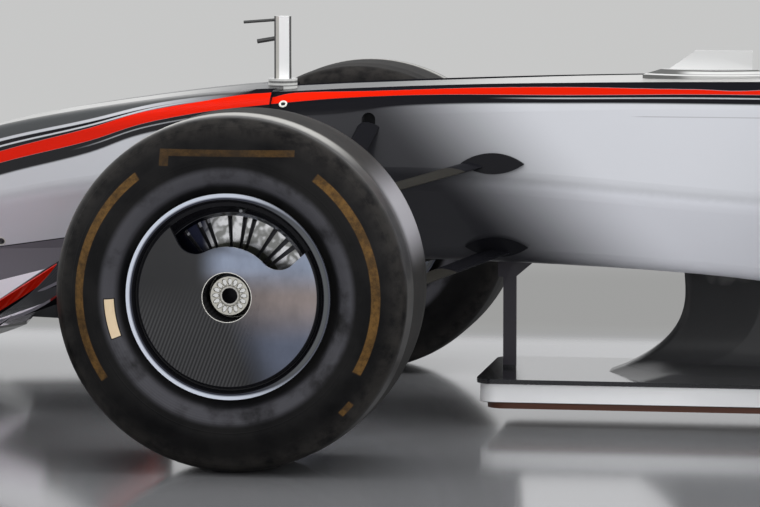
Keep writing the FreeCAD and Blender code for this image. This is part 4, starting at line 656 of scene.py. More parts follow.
def flap_paint(name):
    """Pale silver above, a red strip round the trailing edge with painted highlights, and black below."""
    g = paint(name, Coat_Roughness=0.05)
    x, _, z = g.place(AXLE_FOOT)
    upper = g.above(g.facing()[2], 0.0, 0.04)
    cloud = g.noise(12)
    lower_strip = g.product(g.above(LOWER_STRIP_END, x, STRIP_SOFT), g.above(LOWER_FLAP_TOP, z, STRIP_SOFT))
    red = g.either(g.above(UPPER_STRIP_END, x, STRIP_SOFT), lower_strip)
    under = g.product(g.above(UNDER_STRIP_END, x, 0.0010), g.above(z, LOWER_FLAP_TOP + 0.02))
    top = g.layers(tone(LAVENDER, 0.93), (cloud, LAVENDER), (red, RED))
    # Pale painted highlights in the red below
    below = g.mix(under, BLACK, g.mix(g.above(cloud, 0.55, 0.1), RED, RED_HIGHLIGHT))
    return g.finish(Base_Color=g.mix(upper, below, top), Metallic=g.product(g.outside(red), upper, 0.30),
                    Coat_Weight=g.product(upper, 0.4), Specular_IOR_Level=g.product(upper, 0.4),
                    Roughness=g.blend(cloud, 0.24, 0.34))


# How the endplate's red tip and its inner line lean
PLATE_TIP_LEAN, PLATE_INNER_LEAN = 0.7, 0.673


def plate_paint(name, skin_out, tip=None, inner=None):
    """An endplate: lacquered outside, red ahead of a tip, and black inside, lacquered ahead of an inner line."""
    g = paint(name, Coat_Weight=0.5, Coat_Roughness=0.05)
    x, y, z = g.place(AXLE_FOOT)
    skin = g.above(g.size(y), skin_out)
    cloud, over = g.noise(9), weave(g, x, y, z)
    shade, inside = g.mix(cloud, tone(SILVER, 0.94), SILVER), g.mix(over, CARBON_WEFT, CARBON_WARP)
    red = 0.0
    if tip:
        red = g.above(g.plus(x, g.product(z, PLATE_TIP_LEAN)), tip, 0.001)
        shade = g.mix(red, shade, RED)
    if inner:
        ahead = g.above(g.plus(z, g.product(x, PLATE_INNER_LEAN)), inner, 0.002)
        inside = g.mix(ahead, inside, PLATE_INSIDE)
    return g.finish(Base_Color=g.mix(skin, inside, shade), Metallic=g.product(skin, g.outside(red), 0.45),
                    Roughness=g.blend(cloud, 0.24, 0.34), Normal=g.bump(over, 0.00002, 0.12))


# The mast's facet and outlines ahead of the axle, its foot's height, and the lines round the foot
MAST_EDGE, MAST_FACET, MAST_BACK, MAST_FOOT = 0.0668, 0.0605, 0.0402, 0.662
FOOT_LINES, LINE_SOFT = ((0.6535, 0.6580), (0.6475, 0.6495)), 0.0004


def mast_finish(name):
    """A polished mast with a duller front facet, dark outlines and a streaked foot."""
    g = paint(name, Coat_Weight=0.5, Coat_Roughness=0.1)
    x, _, z = g.place(AXLE_FOOT)
    brushed = g.noise(120, 3, stretch=(3, 3, 0.1))
    outline = g.either(g.above(x, MAST_EDGE, LINE_SOFT), g.above(MAST_BACK, x, LINE_SOFT))
    lines = g.either(*[g.between(z, *heights) for heights in FOOT_LINES])
    foot = g.mix(g.product(lines, g.blend(brushed, 0.6, 1.0)), FOOT_METAL, FOOT_LINE)
    colour = g.layers(MAST_METAL, (brushed, MAST_BRIGHT), (g.above(x, MAST_FACET), MAST_FRONT),
                      (outline, MAST_OUTLINE), (g.above(MAST_FOOT, z, LINE_SOFT), foot))
    return g.finish(Base_Color=colour, Roughness=g.blend(brushed, 0.14, 0.26))


# Bright painted highlight streaks round the fin's dark base, as heights, and where they fade towards the back
FIN_STREAK, FIN_LOW, FIN_HIGH, FIN_FADE = (0.6768, 0.6792), (0.6712, 0.6768), (0.6800, 0.6850), (-0.745, 0.02)


def fin_finish(name, split_z):
    """A white fin on a dark streamlined base with painted highlights."""
    g = paint(name, Coat_Weight=0.4, Coat_Roughness=0.05)
    x, _, z = g.place(AXLE_FOOT)
    cloud = g.noise(18)
    white, behind = g.above(z, split_z), g.outside(g.above(x, *FIN_FADE))
    colour = g.layers(FIN_BASE_DARK, (cloud, FIN_BASE_PALE),
                      (g.product(behind, g.between(z, *FIN_HIGH, 0.001), 0.85), FIN_RIM_HIGHLIGHT),
                      (g.between(z, *FIN_STREAK, 0.0005), FIN_UPPER_HIGHLIGHT),
                      (g.product(g.between(z, *FIN_LOW, 0.0005), behind, 0.8), FIN_LOWER_HIGHLIGHT),
                      (white, WHITE), (g.product(g.sharp(0.55), white, 0.5), FIN_EDGE))
    return g.finish(Base_Color=colour, Metallic=g.product(g.outside(white), 0.2), Roughness=g.blend(cloud, 0.14, 0.26))


# How far out from the middle the links' covers at the cell reach
PAD_OUT = 0.262


def link_finish(name):
    """Smoked carbon links, paler along their sharp edges, with smooth black covers at the cell."""
    g = paint(name, Specular_IOR_Level=0.12)
    _, y, _ = g.place(AXLE_FOOT)
    wear = g.noise(26, 5, 0.65)
    pads = g.above(PAD_OUT, g.size(y), 0.002)
    colour = g.layers(LINK_BROWN, (wear, tone(LINK_BROWN, 1.8)), (g.product(g.sharp(), 0.7), LINK_EDGE), (pads, BLACK))
    return g.finish(Base_Color=colour, Roughness=g.blend(pads, g.blend(wear, 0.30, 0.48), 0.2),
                    Normal=g.bump(wear, 0.0002, 0.2))


def cloth(name, colour, thread=0.0011):
    """Woven strap or cover cloth."""
    g = paint(name, Sheen_Weight=0.25, Roughness=0.85)
    over = weave(g, *g.place(), thread)
    worn = g.mix(g.noise(40), colour, tone(colour, 1.3))
    return g.finish(Base_Color=g.mix(g.product(over, 0.5), tone(colour, 0.6), worn), Normal=g.bump(over, 0.0003, 0.6))


def clear(name, colour, rough=0.03):
    """Tinted clear plastic with a slight haze."""
    g = paint(name, Transmission_Weight=0.85, IOR=1.45)
    g.place()
    haze = g.noise(25)
    return g.finish(Base_Color=g.mix(haze, colour, tone(colour, 0.9)), Roughness=g.blend(haze, rough, rough * 2.5))


# Mesh building

def added(name, data):
    """A new object in the scene."""
    obj = bpy.data.objects.new(name, data)
    bpy.context.scene.collection.objects.link(obj)
    return obj


def place_mesh(name, parts, material, body, smooth=True):
    """A new piece from one or more (points, faces) sets, riding on a body."""
    verts, faces = [], []
    for more_verts, more_faces in parts:
        start = len(verts)
        verts += more_verts
        faces += [tuple(i + start for i in face) for face in more_faces]
    mesh = bpy.data.meshes.new(name)
    mesh.from_pydata([tuple(v) for v in verts], [], faces)
    work = bmesh.new()
    work.from_mesh(mesh)
    bmesh.ops.recalc_face_normals(work, faces=work.faces)
    work.to_mesh(mesh)
    work.free()
    mesh.materials.append(material)
    for polygon in mesh.polygons:
        polygon.use_smooth = smooth
    obj = added(name, mesh)
    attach(obj, body)


def frame_at(centre, way):
    """A matrix whose z axis points the given way at a centre."""
    return Matrix.Translation(centre) @ Vector(way).to_track_quat("Z", "Y").to_matrix().to_4x4()


def loops(count, rows, closed=False):
    """Faces between rows of points, each a closed loop of the same count."""
    faces = []
    for i in range(rows if closed else rows - 1):
        low, high = i * count, (i + 1) % rows * count
        faces += [(low + j, low + (j + 1) % count, high + (j + 1) % count, high + j) for j in range(count)]
    return faces


def capped(count, rows):
    """The same, with a face at each end."""
    return loops(count, rows) + [tuple(range(count)), tuple(range((rows - 1) * count, rows * count))]


def turned(profile, matrix, segments=48):
    """Points and faces of a closed profile of (radius, height) turned about z."""
    verts = []
    for i in range(segments):
        turn = 2 * math.pi * i / segments
        verts += [matrix @ Vector((radius * math.cos(turn), radius * math.sin(turn), height))
                  for radius, height in profile]
    return verts, loops(len(profile), segments, True)


def dress(material, *names):
    for name in names:
        mesh = nodes[name].data
        mesh.materials.clear()
        mesh.materials.append(material)


def both(name):
    return [name + "_left", name + "_right"]


def on_surface(node, start, way):
    """Where a ray meets a CAD node, and the surface's direction there."""
    hit, where, normal, _ = nodes[node].ray_cast(Vector(start), Vector(way))
    return (where, normal) if hit else (None, None)


def swept(line, section, sides=None):
    """Points and faces of a flat section carried along a line. The section is (sideways, upward) points."""
    verts, last = [], len(line) - 1
    for i, point in enumerate(line):
        way = (line[min(i + 1, last)] - line[max(i - 1, 0)]).normalized()
        side = (sides[i] if sides else way.cross(UP)).normalized()
        up = side.cross(way).normalized()
        verts += [point + side * a + up * b for a, b in section]
    return verts, capped(len(section), len(line))


def smooth_line(points, steps=8):
    """A curve through the points."""
    points = [Vector(p) for p in points]
    padded = [points[0] * 2 - points[1]] + points + [points[-1] * 2 - points[-2]]
    line = []
    for a, b, c, d in zip(padded, padded[1:], padded[2:], padded[3:]):
        for i in range(steps):
            t = i / steps
            line.append(((b * 2) + (c - a) * t + (a * 2 - b * 5 + c * 4 - d) * t * t
                         + (b * 3 - a - c * 3 + d) * t ** 3) / 2)
    return line + [points[-1]]


def round_section(half_a, half_b, power=1.0, count=16):
    """An oval section, squarer as the power falls under 1."""
    points = []
    for i in range(count):
        turn = 2 * math.pi * i / count
        c, t = math.cos(turn), math.sin(turn)
        points.append((half_a * math.copysign(abs(c) ** power, c), half_b * math.copysign(abs(t) ** power, t)))
    return points


def block(matrix, size, bevel=0.15):
    """Points and faces of a box with chamfered edges along its height, centred on a matrix."""
    half = [c / 2 for c in size]
    cut = min(size) * bevel
    rows = ((half[0] - cut, half[1] - cut, -half[2]), (half[0], half[1], -half[2] + cut),
            (half[0], half[1], half[2] - cut), (half[0] - cut, half[1] - cut, half[2]))
    verts = []
    for a, b, height in rows:
        outline = ((a, b - cut), (a - cut, b), (cut - a, b), (-a, b - cut), (-a, cut - b), (cut - a, -b),
                   (a - cut, -b), (a, cut - b))
        verts += [matrix @ Vector((u, v, height)) for u, v in outline]
    return verts, capped(8, len(rows))


# Finishes, with where their seams and insides are ahead of the front axle
FIN_BASE_TOP, REAR_PLATE_SKIN, ENDPLATE_TIP, ENDPLATE_INNER = 0.688, 0.371, 1.05, 0.677
DUCT_MIDDLE_Y, DUCT_MIDDLE_Z = 0.47, 0.36
rear_red = gloss_paint("red_lacquer", RED)
black_paint = gloss_paint("black_gloss", BLACK)
carbon_gloss = carbon("carbon_gloss")
cast_metal = metal("cast_metal", CAST_METAL, 0.5)
fastener_metal = gloss_paint("fastener_metal", FASTENER_METAL)
mirror_finish = metal("mirror_glass", MIRROR_GLASS, 0.02)

dress(body_paint("silver_lacquer_cell", (JOINT_AHEAD, -1.72), cell_inside, shaded=True), "monocoque")
dress(body_paint("silver_lacquer_nose", (JOINT_AHEAD,), shaded=True, nose=True), "nose")
dress(body_paint("silver_lacquer_cover", (-2.55,), duct_inside(0, 0.89, -2.02), "band"), "engine_cover")
dress(body_paint("silver_lacquer_pod", (-2.3,), duct_inside(DUCT_MIDDLE_Y, DUCT_MIDDLE_Z, -1.66), None),
      *both("sidepod"))
dress(body_paint("silver_lacquer_small", lines=None), *both("mirror"))
dress(plate_paint("silver_plate_front", HALF_WIDTH - 0.004, ENDPLATE_TIP, ENDPLATE_INNER), *both("front_endplate"))
dress(plate_paint("silver_plate_rear", REAR_PLATE_SKIN), *both("rear_endplate"))
dress(flap_paint("flap_lacquer"), *both("front_flaps"))
dress(rear_red, "rear_wing")
dress(cover_finish("polished_cover_carbon"), *both("wheel_cover"))
dress(keel_finish("dark_satin_keel"), "keel")
dress(carbon_gloss, "front_wing")
dress(carbon("carbon_satin", 0.25, rough=0.45), "floor", "diffuser", "crash_structure", "steering_wheel")
dress(carbon("seat_carbon", 0.2, SEAT_WARP, SEAT_WEFT, 0.45), "seat")
dress(tray_finish("tray_black_and_metal", "splitter"), "splitter")
dress(wood("skid_wood"), "plank")
dress(fin_finish("white_fin_highlighted_base", FIN_BASE_TOP), "chassis_fin")
dress(mast_finish("polished_mast"), "nose_mast")
dress(black_paint, "camera_pod")
dress(cast_metal, "engine_block", "gearbox")
dress(metal("dark_metal", DARK_METAL, 0.42), "steering_rack", *both("front_upright"), *both("rear_upright"))
dress(metal("heated_steel", HEATED_STEEL, 0.38), *both("exhaust"))
dress(link_finish("smoked_links"), *both("front_suspension"), *both("rear_suspension"))
dress(clear("smoked_screen", SCREEN_TINT), "windscreen")
dress(clear("red_lens", LENS_RED, 0.08), "rain_light")
for end, axle in ENDS:
    dress(rubber(end + "_rubber", axle), *both(end + "_tyre"))
    dress(rim_paint(end + "_rim_metal", axle), *both(end + "_rim"))


# Thin bright edges on the wheel covers and nuts, and a valve in each rim, near the flange
COVER_HOLE, COVER_FACE, EDGE_THICK = 0.0452, 0.004, 0.0014
NUT_FACE_DEPTH = SPOKE_DEPTH - SPOKE_HALF - NUT_HEIGHT
NUT_RING, NUT_RING_GAP = 0.0026, 0.0003
VALVE_RADIUS, VALVE_TURN, VALVE_OUT = 0.156, math.radians(98), 0.040
VALVE_PROFILE = ((0.0004, -0.014), (0.0055, -0.014), (0.0055, -0.006), (0.0036, -0.005), (0.0036, 0.008),
                 (0.0030, 0.010), (0.0004, 0.010))


def thin_ring(radius, thick, matrix, segments=96):
    half = thick / 2
    profile = [(radius + half * math.cos(t * math.pi / 3), half * math.sin(t * math.pi / 3)) for t in range(6)]
    return turned(profile, matrix, segments)


def wheel_side(axle, sign, depth, x=0, z=0):
    """A matrix that looks out of a wheel's side, from so far in from its outer face."""
    return frame_at(Vector((axle.x + x, sign * (HALF_WIDTH - depth), axle.z + z)), ACROSS * sign)


valve_x, valve_z = VALVE_RADIUS * math.cos(VALVE_TURN), VALVE_RADIUS * math.sin(VALVE_TURN)
for side, sign in SIDES:
    hole = thin_ring(COVER_HOLE, EDGE_THICK, wheel_side(front_axle, sign, COVER_FACE))
    place_mesh(f"cover_hole_edge_{side}", [hole], fastener_metal, f"knuckle_{side}")
    for end, axle in ENDS:
        ring = thin_ring(BORE_RADIUS + NUT_RING / 2 + NUT_RING_GAP, NUT_RING, wheel_side(axle, sign, NUT_FACE_DEPTH))
        place_mesh(f"{end}_nut_ring_{side}", [ring], fastener_metal, f"{end}_wheel_{side}")
for end, axle in ENDS:
    for side, sign in SIDES:
        valve = turned(VALVE_PROFILE, wheel_side(axle, sign, VALVE_OUT, valve_x, valve_z), 20)
        place_mesh(f"{end}_valve_{side}", [valve], cast_metal, f"{end}_wheel_{side}")


# Round quick fasteners along the body's joints, with dark drives
FASTENER_PROFILE = ((0.0, -0.004), (1.0, -0.004), (1.0, 0.0004), (0.92, 0.0010), (0.62, 0.0010), (0.52, 0.0004),
                    (0.40, -0.0020), (0.0, -0.0020))
DRIVE_PROFILE = ((0.0, -0.0019), (0.46, -0.0019), (0.46, 0.0003), (0.0, 0.0003))


def fastener(where, normal, radius, shape=FASTENER_PROFILE):
    profile = [(max(share, 0.02) * radius, height) for share, height in shape]
    return turned(profile, frame_at(where, normal), 24)


# Fasteners on the left side: node, distance ahead of the front axle, height, and radius
FASTENER_PLACES = [("monocoque", 0.0231, 0.6236, 0.0085), ("nose", 0.072, 0.43, 0.007),
                   ("monocoque", 0.020, 0.43, 0.007)]
FASTENER_PLACES += [("sidepod", -1.30 - 0.22 * i, 0.48 - 0.012 * i, 0.0055) for i in range(5)]
FASTENER_PLACES += [("engine_cover", -1.86 - 0.20 * i, 0.70 - 0.045 * i, 0.0055) for i in range(4)]
# The nose's jacking hole: a light ring round a black disc, which stands for the hole's shade
HOLE_AHEAD, HOLE_HEIGHT, HOLE_RADIUS, HOLE_EDGE, HOLE_SHADE_SIZE = 0.5949, 0.3438, 0.0085, 0.0028, 2.1
heads, drives = [], []
for node, ahead, height, radius in FASTENER_PLACES:
    for side, sign in SIDES:
        name = node if node in nodes else f"{node}_{side}"
        where, normal = on_surface(name, (AXLE_X + ahead, sign, height), (0, -sign, 0))
        if where:
            heads.append(fastener(where, normal, radius))
            drives.append(fastener(where, normal, radius, DRIVE_PROFILE))
for _, sign in SIDES:
    where, normal = on_surface("nose", (AXLE_X + HOLE_AHEAD, sign, HOLE_HEIGHT), (0, -sign, 0))
    heads.append(thin_ring(HOLE_RADIUS, HOLE_EDGE, frame_at(where, normal), 32))
    drives.append(fastener(where, normal, HOLE_RADIUS * HOLE_SHADE_SIZE, DRIVE_PROFILE))
place_mesh("panel_fasteners", heads, fastener_metal, "root")
place_mesh("fastener_drives", drives, black_paint, "root")


# Mirrors
MIRROR_HALF_WIDE, MIRROR_HALF_TALL, MIRROR_THICK = 0.0687, 0.0250, 0.002
MIRROR_OUT, MIRROR_Z, MIRROR_INSET = 0.400, 0.6989, 0.0045
for side, sign in SIDES:
    centre = Vector((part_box("mirror_" + side)[0].x + MIRROR_INSET, sign * MIRROR_OUT, MIRROR_Z))
    outline = round_section(MIRROR_HALF_WIDE, MIRROR_HALF_TALL, 0.5, 32)
    verts = [centre + Vector((layer, a, b)) for layer in (0, MIRROR_THICK) for a, b in outline]
    place_mesh("mirror_glass_" + side, [(verts, capped(len(outline), 2))], mirror_finish, "root", False)


# Padded collar round the cockpit: firm moulded foam in a dull cover, with sewn seams
COLLAR_VOXEL, COLLAR_ROUNDS, COLLAR_IN = 0.005, 14, 0.0015
SEAM_SHARES, SEAM_WIDE, SEAM_DEEP = (0.20, 0.48, 0.76), 0.006, 0.0035


def padded_collar(node):
    piece = nodes[node].copy()
    piece.data = nodes[node].data.copy()
    piece.name = piece.data.name = "padded_collar"
    piece.parent = None
    bpy.context.scene.collection.objects.link(piece)
    remesh = piece.modifiers.new("remesh", "REMESH")
    remesh.mode, remesh.voxel_size = "VOXEL", COLLAR_VOXEL
    smooth = piece.modifiers.new("smooth", "SMOOTH")
    smooth.factor, smooth.iterations = 0.5, COLLAR_ROUNDS
    graph = bpy.context.evaluated_depsgraph_get()
    mesh = bpy.data.meshes.new_from_object(piece.evaluated_get(graph))
    piece.modifiers.clear()
    piece.data = mesh
    low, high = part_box(node)
    seams = [low.x + (high.x - low.x) * share for share in SEAM_SHARES]
    for vertex in mesh.vertices:
        sink = sum(max(0.0, 1 - abs(vertex.co.x - seam) / SEAM_WIDE) for seam in seams)
        vertex.co -= vertex.normal * (COLLAR_IN + SEAM_DEEP * sink ** 2)
    mesh.materials.clear()
    mesh.materials.append(cloth("collar_cloth", COLLAR_CLOTH))
    for polygon in mesh.polygons:
        polygon.use_smooth = True
    return piece


collar = padded_collar("cockpit_surround")
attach(collar, "root")
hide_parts("cockpit_surround")


# Safety harness lying in the empty seat. Each strap's places are (along, across, lift), with half its width
STRAP_THICK, STRAP_LIFT, ABOVE_SEAT = 0.0022, 0.004, 0.75
BUCKLE_X, SHOULDER_X = -0.030, (-0.29, -0.25, -0.20, -0.15, -0.10)
LAP_STEPS, CROTCH_X = (1, 0.8, 0.55, 0.3, 0), (0.12, 0.08, 0.04, 0.0)
SHOULDER = [(x, 0.030 + 0.26 * (BUCKLE_X - x), STRAP_LIFT) for x in SHOULDER_X] + [(-0.055, 0.028, 0.012)]
LAP = [(-0.105 + 0.06 * (1 - t), 0.175 * t + 0.03 * (1 - t), STRAP_LIFT + 0.006 * (1 - t)) for t in LAP_STEPS]
CROTCH = [(x, 0.012 + 0.3 * max(0, x), STRAP_LIFT) for x in CROTCH_X]
STRAPS = ((SHOULDER, 0.0255), (LAP, 0.022), (CROTCH, 0.0176))
BUCKLE_PROFILE = ((0.0004, -0.006), (0.027, -0.006), (0.030, -0.002), (0.030, 0.006), (0.026, 0.010), (0.015, 0.012),
                  (0.013, 0.016), (0.0004, 0.017))


def on_seat(x, y, lift):
    where, _ = on_surface("seat", (x, y, ABOVE_SEAT), (0, 0, -1))
    return where + UP * lift if where else None


def strap(points, half):
    thick = STRAP_THICK / 2
    section = ((-half, -thick), (half, -thick), (half, thick), (-half, thick))
    return swept(smooth_line([p for p in points if p]), section)


straps = [strap([on_seat(x, sign * y, lift) for x, y, lift in places], half)
          for _, sign in SIDES for places, half in STRAPS]
place_mesh("harness_straps", straps, cloth("belt_webbing", WEBBING, 0.0016), "root")
buckle = turned(BUCKLE_PROFILE, frame_at(on_seat(BUCKLE_X, 0, 0.008), UP), 40)
place_mesh("harness_buckle", [buckle], cast_metal, "root")


# Steering wheel: grips, a blank screen, shift lamps, buttons, knobs and paddles
WHEEL_HUB, WHEEL_TILT = Vector((AXLE_X - 1.150, 0, 0.585)), math.radians(14)
WHEEL_HALF_WIDE, WHEEL_HALF_TALL, WHEEL_DEEP = 0.140, 0.090, 0.030
to_driver = Vector((-math.cos(WHEEL_TILT), 0, math.sin(WHEEL_TILT)))
wheel_up = Vector((to_driver.z, 0, -to_driver.x))


def on_wheel(across, up, out=0.0):
    """A place on the wheel's face, with shares of its half width and height, and the distance out from it."""
    return (WHEEL_HUB + ACROSS * (WHEEL_HALF_WIDE * across) + wheel_up * (WHEEL_HALF_TALL * up)
            + to_driver * (WHEEL_DEEP + out))


def wheel_frame(across, up, out=0.0):
    matrix = Matrix((ACROSS, wheel_up, to_driver)).transposed().to_4x4()
    matrix.translation = on_wheel(across, up, out)
    return matrix


# The controls, as shares of the wheel's half width and height, and their profiles
GRIP_PATH = ((0.80, 0.80), (0.88, 0.62), (0.90, 0.30), (0.885, -0.05), (0.875, -0.40), (0.82, -0.72), (0.74, -0.86))
BUTTON_PLACES = ((0.46, 0.62), (0.46, 0.30), (0.33, 0.78), (0.42, -0.05), (0.30, -0.32))
KNOB_PLACES = ((0.0, -0.36), (0.20, -0.10), (-0.20, -0.10))
KNOB_PROFILE = ((0.0003, -0.001), (0.0105, -0.001), (0.0105, 0.003), (0.0080, 0.004), (0.0072, 0.010),
                (0.0003, 0.0105))
BUTTON_PROFILE = ((0.0003, -0.001), (0.0068, -0.001), (0.0068, 0.0018), (0.0052, 0.0022), (0.0050, 0.0040),
                  (0.0003, 0.0044))
grips, paddles = [], []
for _, sign in SIDES:
    line = smooth_line([on_wheel(sign * a, b, -WHEEL_DEEP / 2) for a, b in GRIP_PATH], 6)
    grips.append(swept(line, round_section(0.0185, 0.0190, 0.75), [ACROSS] * len(line)))
    paddles.append(block(wheel_frame(sign * 0.62, 0.12, -WHEEL_DEEP - 0.010), (0.062, 0.070, 0.004)))
    paddles.append(block(wheel_frame(sign * 0.30, 0.12, -WHEEL_DEEP - 0.007), (0.040, 0.014, 0.014)))
bezel = [block(wheel_frame(0, 0.36, 0.001), (0.084, 0.046, 0.006))]
knobs = [turned(KNOB_PROFILE, wheel_frame(a, b), 24) for a, b in KNOB_PLACES]
buttons = [turned(BUTTON_PROFILE, wheel_frame(sign * a, b), 20) for a, b in BUTTON_PLACES for _, sign in SIDES]
lamps = [turned(BUTTON_PROFILE, wheel_frame(0.055 * i, 0.80) @ Matrix.Scale(0.5, 4), 12) for i in range(-5, 6)]
for name, parts, finish, slot in (
        ("steering_grips", grips, cloth("grip_suede", SUEDE, 0.0007), "foam_collar"),
        ("steering_screen", bezel, gloss_paint("blank_screen", SCREEN_OFF), "black_paint"),
        ("steering_knobs", knobs, metal("knob_metal", KNOB_METAL), "cast_metal"),
        ("steering_buttons", buttons, rear_red, "red_paint"),
        ("shift_lamps", lamps, gloss_paint("lamp_green", LAMP_GREEN), "clear_screen"),
        ("shift_paddles", paddles, carbon_gloss, "carbon")):
    place_mesh(name, parts, finish, "steering_wheel")


# Radiator cores at the ends of the sidepods' ducts: upright blades across each duct and level tubes behind them
CORE_X, CORE_DEEP, CORE_GAP = AXLE_X - 1.640, 0.014, 0.003
BLADE_START, BLADE_END, BLADE_PITCH, BLADE_THICK = 0.315, 0.640, 0.0065, 0.0012
TUBE_START, TUBE_END, TUBE_PITCH, TUBE_THICK = 0.20, 0.56, 0.021, 0.0035
core_metal = metal("radiator_metal", CORE_METAL, 0.45)


def duct_walls(side, y, z, way):
    """Where a line both ways from a place in a sidepod meets its duct, or None."""
    places = [on_surface("sidepod_" + side, (CORE_X, y, z), Vector(way) * turn)[0] for turn in (-1, 1)]
    return places if all(places) else None


for side, sign in SIDES:
    parts = []
    y, z = BLADE_START, TUBE_START
    while y < BLADE_END:
        walls = duct_walls(side, sign * y, DUCT_MIDDLE_Z, UP)
        if walls:
            low, high = walls
            centre = Matrix.Translation((CORE_X, sign * y, (low.z + high.z) / 2))
            parts.append(block(centre, (CORE_DEEP, BLADE_THICK, high.z - low.z - CORE_GAP), 0.1))
        y += BLADE_PITCH
    while z < TUBE_END:
        walls = duct_walls(side, sign * DUCT_MIDDLE_Y, z, ACROSS)
        if walls:
            low, high = walls
            centre = Matrix.Translation((CORE_X - CORE_DEEP / 4, (low.y + high.y) / 2, z))
            parts.append(block(centre, (CORE_DEEP, high.y - low.y - CORE_GAP, TUBE_THICK), 0.2))
        z += TUBE_PITCH
    place_mesh("radiator_core_" + side, parts, core_metal, "root", False)


# Rear lamp cells, camera lenses and the screen's trim
CELL_COUNT, CELL_PITCH = 5, 0.0118
CELL_PROFILE = ((0.0003, -0.001), (0.0048, -0.001), (0.0044, 0.0012), (0.0028, 0.0024), (0.0003, 0.0028))
lamp_low, lamp_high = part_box("rain_light")
rows = [CELL_PITCH * (i - (CELL_COUNT - 1) / 2) for i in range(CELL_COUNT)]
cells = [turned(CELL_PROFILE, frame_at(Vector((lamp_low.x, y, (lamp_low.z + lamp_high.z) / 2 + z)), (-1, 0, 0)), 14)
         for y in rows for z in rows]
place_mesh("rain_light_cells", cells, gloss_paint("lamp_red", LAMP_RED), "root")

LENS_OUT, LENS_HEIGHT = 0.022, 0.982
LENS_PROFILE = ((0.0003, -0.002), (0.0085, -0.002), (0.0085, 0.0008), (0.0068, 0.0012), (0.0060, -0.0004),
                (0.0003, 0.0004))
lenses = [turned(LENS_PROFILE, frame_at(*on_surface("camera_pod", (0, sign * LENS_OUT, LENS_HEIGHT), (-1, 0, 0))), 24)
          for _, sign in SIDES]
place_mesh("camera_lenses", lenses, mirror_finish, "root")

TRIM_DEEP, TRIM_THICK = 0.002, 0.003


def screen_trim():
    """A rubber bead along the windscreen's upper edge."""
    source = nodes["windscreen"].data
    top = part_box("windscreen")[1].z - TRIM_DEEP
    faces = [tuple(p.vertices) for p in source.polygons if p.center.z > top and p.normal.z > 0.5]
    index = {place: i for i, place in enumerate(dict.fromkeys(i for face in faces for i in face))}
    verts = [source.vertices[place].co.copy() for place in index]
    faces = [tuple(index[i] for i in face) for face in faces]
    count = len(verts)
    edges = dict.fromkeys(edge for face in faces for edge in zip(face, face[1:] + face[:1]))
    sides = [(a, b, b + count, a + count) for a, b in edges if (b, a) not in edges]
    upper = [tuple(i + count for i in face) for face in faces]
    return verts + [v + UP * TRIM_THICK for v in verts], [tuple(reversed(f)) for f in faces] + upper + sides


place_mesh("screen_trim", [screen_trim()], black_paint, "root", False)

# Louvres on the rear endplates: how far the first is in from the plate's rear and top, and out from its side
LOUVRE_COUNT, LOUVRE_SIZE, LOUVRE_TILT = 5, (0.105, 0.0030, 0.0090), math.radians(18)
LOUVRE_IN, LOUVRE_DOWN, LOUVRE_OUT, LOUVRE_PITCH = 0.115, 0.060, 0.0012, 0.030
for side, sign in SIDES:
    plate_low, plate_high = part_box("rear_endplate_" + side)
    outer_y = (plate_high.y if sign > 0 else plate_low.y) + sign * LOUVRE_OUT
    slats = []
    for i in range(LOUVRE_COUNT):
        where = Matrix.Translation((plate_high.x - LOUVRE_IN, outer_y, plate_high.z - LOUVRE_DOWN - LOUVRE_PITCH * i))
        slats.append(block(where @ Matrix.Rotation(-LOUVRE_TILT, 4, "Y"), LOUVRE_SIZE, 0.3))
    place_mesh("endplate_louvres_" + side, slats, black_paint, "root")


# Stage: a gloss grey strip of floor, pale behind and in front, with how soft each of its ends is
FLOOR_BACK_Y, FLOOR_FRONT_Y, FLOOR_ENDS_X, FLOOR_REACH = -1.35, 1.75, 3.6, 60
BACK_SOFT, FRONT_SOFT, ENDS_SOFT = 0.22, 0.5, 0.8
FLOOR_RISE, FLOOR_RISE_FRONT = (-3.3, 0.9), (2.25, 1.2)


def floor_material():
    g = paint("studio_floor", Specular_IOR_Level=0.7)
    x, y, _ = g.place()
    far = g.either(g.above(FLOOR_BACK_Y, y, BACK_SOFT), g.above(y, FLOOR_FRONT_Y, FRONT_SOFT),
                   g.above(g.size(x), FLOOR_ENDS_X, ENDS_SOFT))
    pale = g.layers(FLOOR_BACK, (g.above(y, *FLOOR_RISE), FLOOR_WALL_FOOT),
                    (g.above(y, *FLOOR_RISE_FRONT), FLOOR_FRONT))
    near = g.mix(g.noise(0.8, 3), tone(FLOOR_NEAR, 0.94), FLOOR_NEAR)
    near = g.mix(g.shown(), FLOOR_BOUNCE, near)
    material = g.finish(Base_Color=g.mix(far, near, pale), Roughness=g.blend(far, 0.11, 0.9))
    backdrop = g.add("Emission", {}, {"Color": pale})
    seen = g.add("MixShader", {}, {0: g.product(far, g.shown()), 1: g.shader.outputs[0], 2: backdrop})
    g.set(g.tree.nodes["Material Output"], {"Surface": seen})
    return material


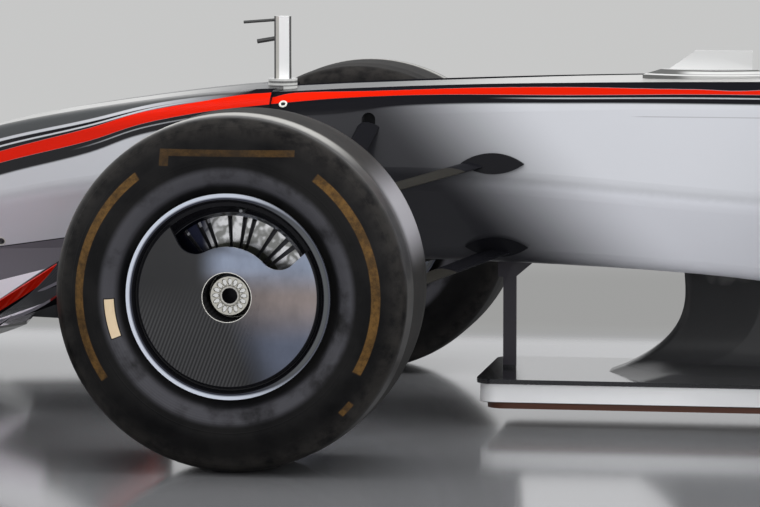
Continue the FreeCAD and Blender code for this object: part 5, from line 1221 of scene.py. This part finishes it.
floor_mesh = bpy.data.meshes.new("studio_floor")
corners = [(FLOOR_REACH * a, FLOOR_REACH * b, 0) for a, b in ((-1, -1), (1, -1), (1, 1), (-1, 1))]
floor_mesh.from_pydata(corners, [], [(0, 1, 2, 3)])
floor_mesh.materials.append(floor_material())
added("studio_floor", floor_mesh)

# World: pale walls and a darker ceiling as metal and glass show them, and one even light for the rest
CEILING_START, CEILING_SOFT, WORLD_LEVEL = 0.62, 0.20, 0.90
world = bpy.data.worlds.new("studio")
sky = Graph(world, "Background")
height = sky.axes(sky.add("TexCoord", output=0))[2]
room = sky.mix(sky.above(height, CEILING_START, CEILING_SOFT), WALLS, CEILING)
shown = sky.shown()
sky.finish(Color=sky.mix(shown, WORLD_COLOUR, room), Strength=sky.blend(shown, WORLD_LEVEL, 1.0))
bpy.context.scene.world = world


def soft_light(name, where, target, size, power):
    """A broad lamp that looks at a target and doesn't show in mirrors."""
    data = bpy.data.lights.new(name, "AREA")
    data.shape = "RECTANGLE"
    data.size, data.size_y = size
    data.energy = power
    lamp = added(name, data)
    lamp.matrix_world = frame_at(Vector(where), Vector(where) - Vector(target))
    lamp.visible_glossy = False


soft_light("overhead", (AXLE_X - 1.0, 0.6, 4.2), (AXLE_X - 1.0, 0, 0), (7, 2.4), 190)
soft_light("window", (AXLE_X - 6.5, 7.0, 2.2), (AXLE_X - 0.5, 0.5, 0.3), (3.0, 3.0), 170)

camera_data = bpy.data.cameras.new("photograph")
camera_data.sensor_width = SENSOR_WIDTH
camera_data.lens = SENSOR_WIDTH * FOCAL_PIXELS / IMAGE_WIDTH
camera_data.clip_end = 200
camera = added("photograph", camera_data)
yaw, pitch = math.radians(CAMERA_YAW), math.radians(CAMERA_PITCH)
look = Vector((math.sin(yaw) * math.cos(pitch), -math.cos(yaw) * math.cos(pitch), -math.sin(pitch)))
camera.location = Vector(AXLE_FOOT) + CAMERA_FROM_AXLE
camera.rotation_euler = look.to_track_quat("-Z", "Y").to_euler()
bpy.context.scene.camera = camera
bpy.context.scene.view_settings.view_transform = "Standard"
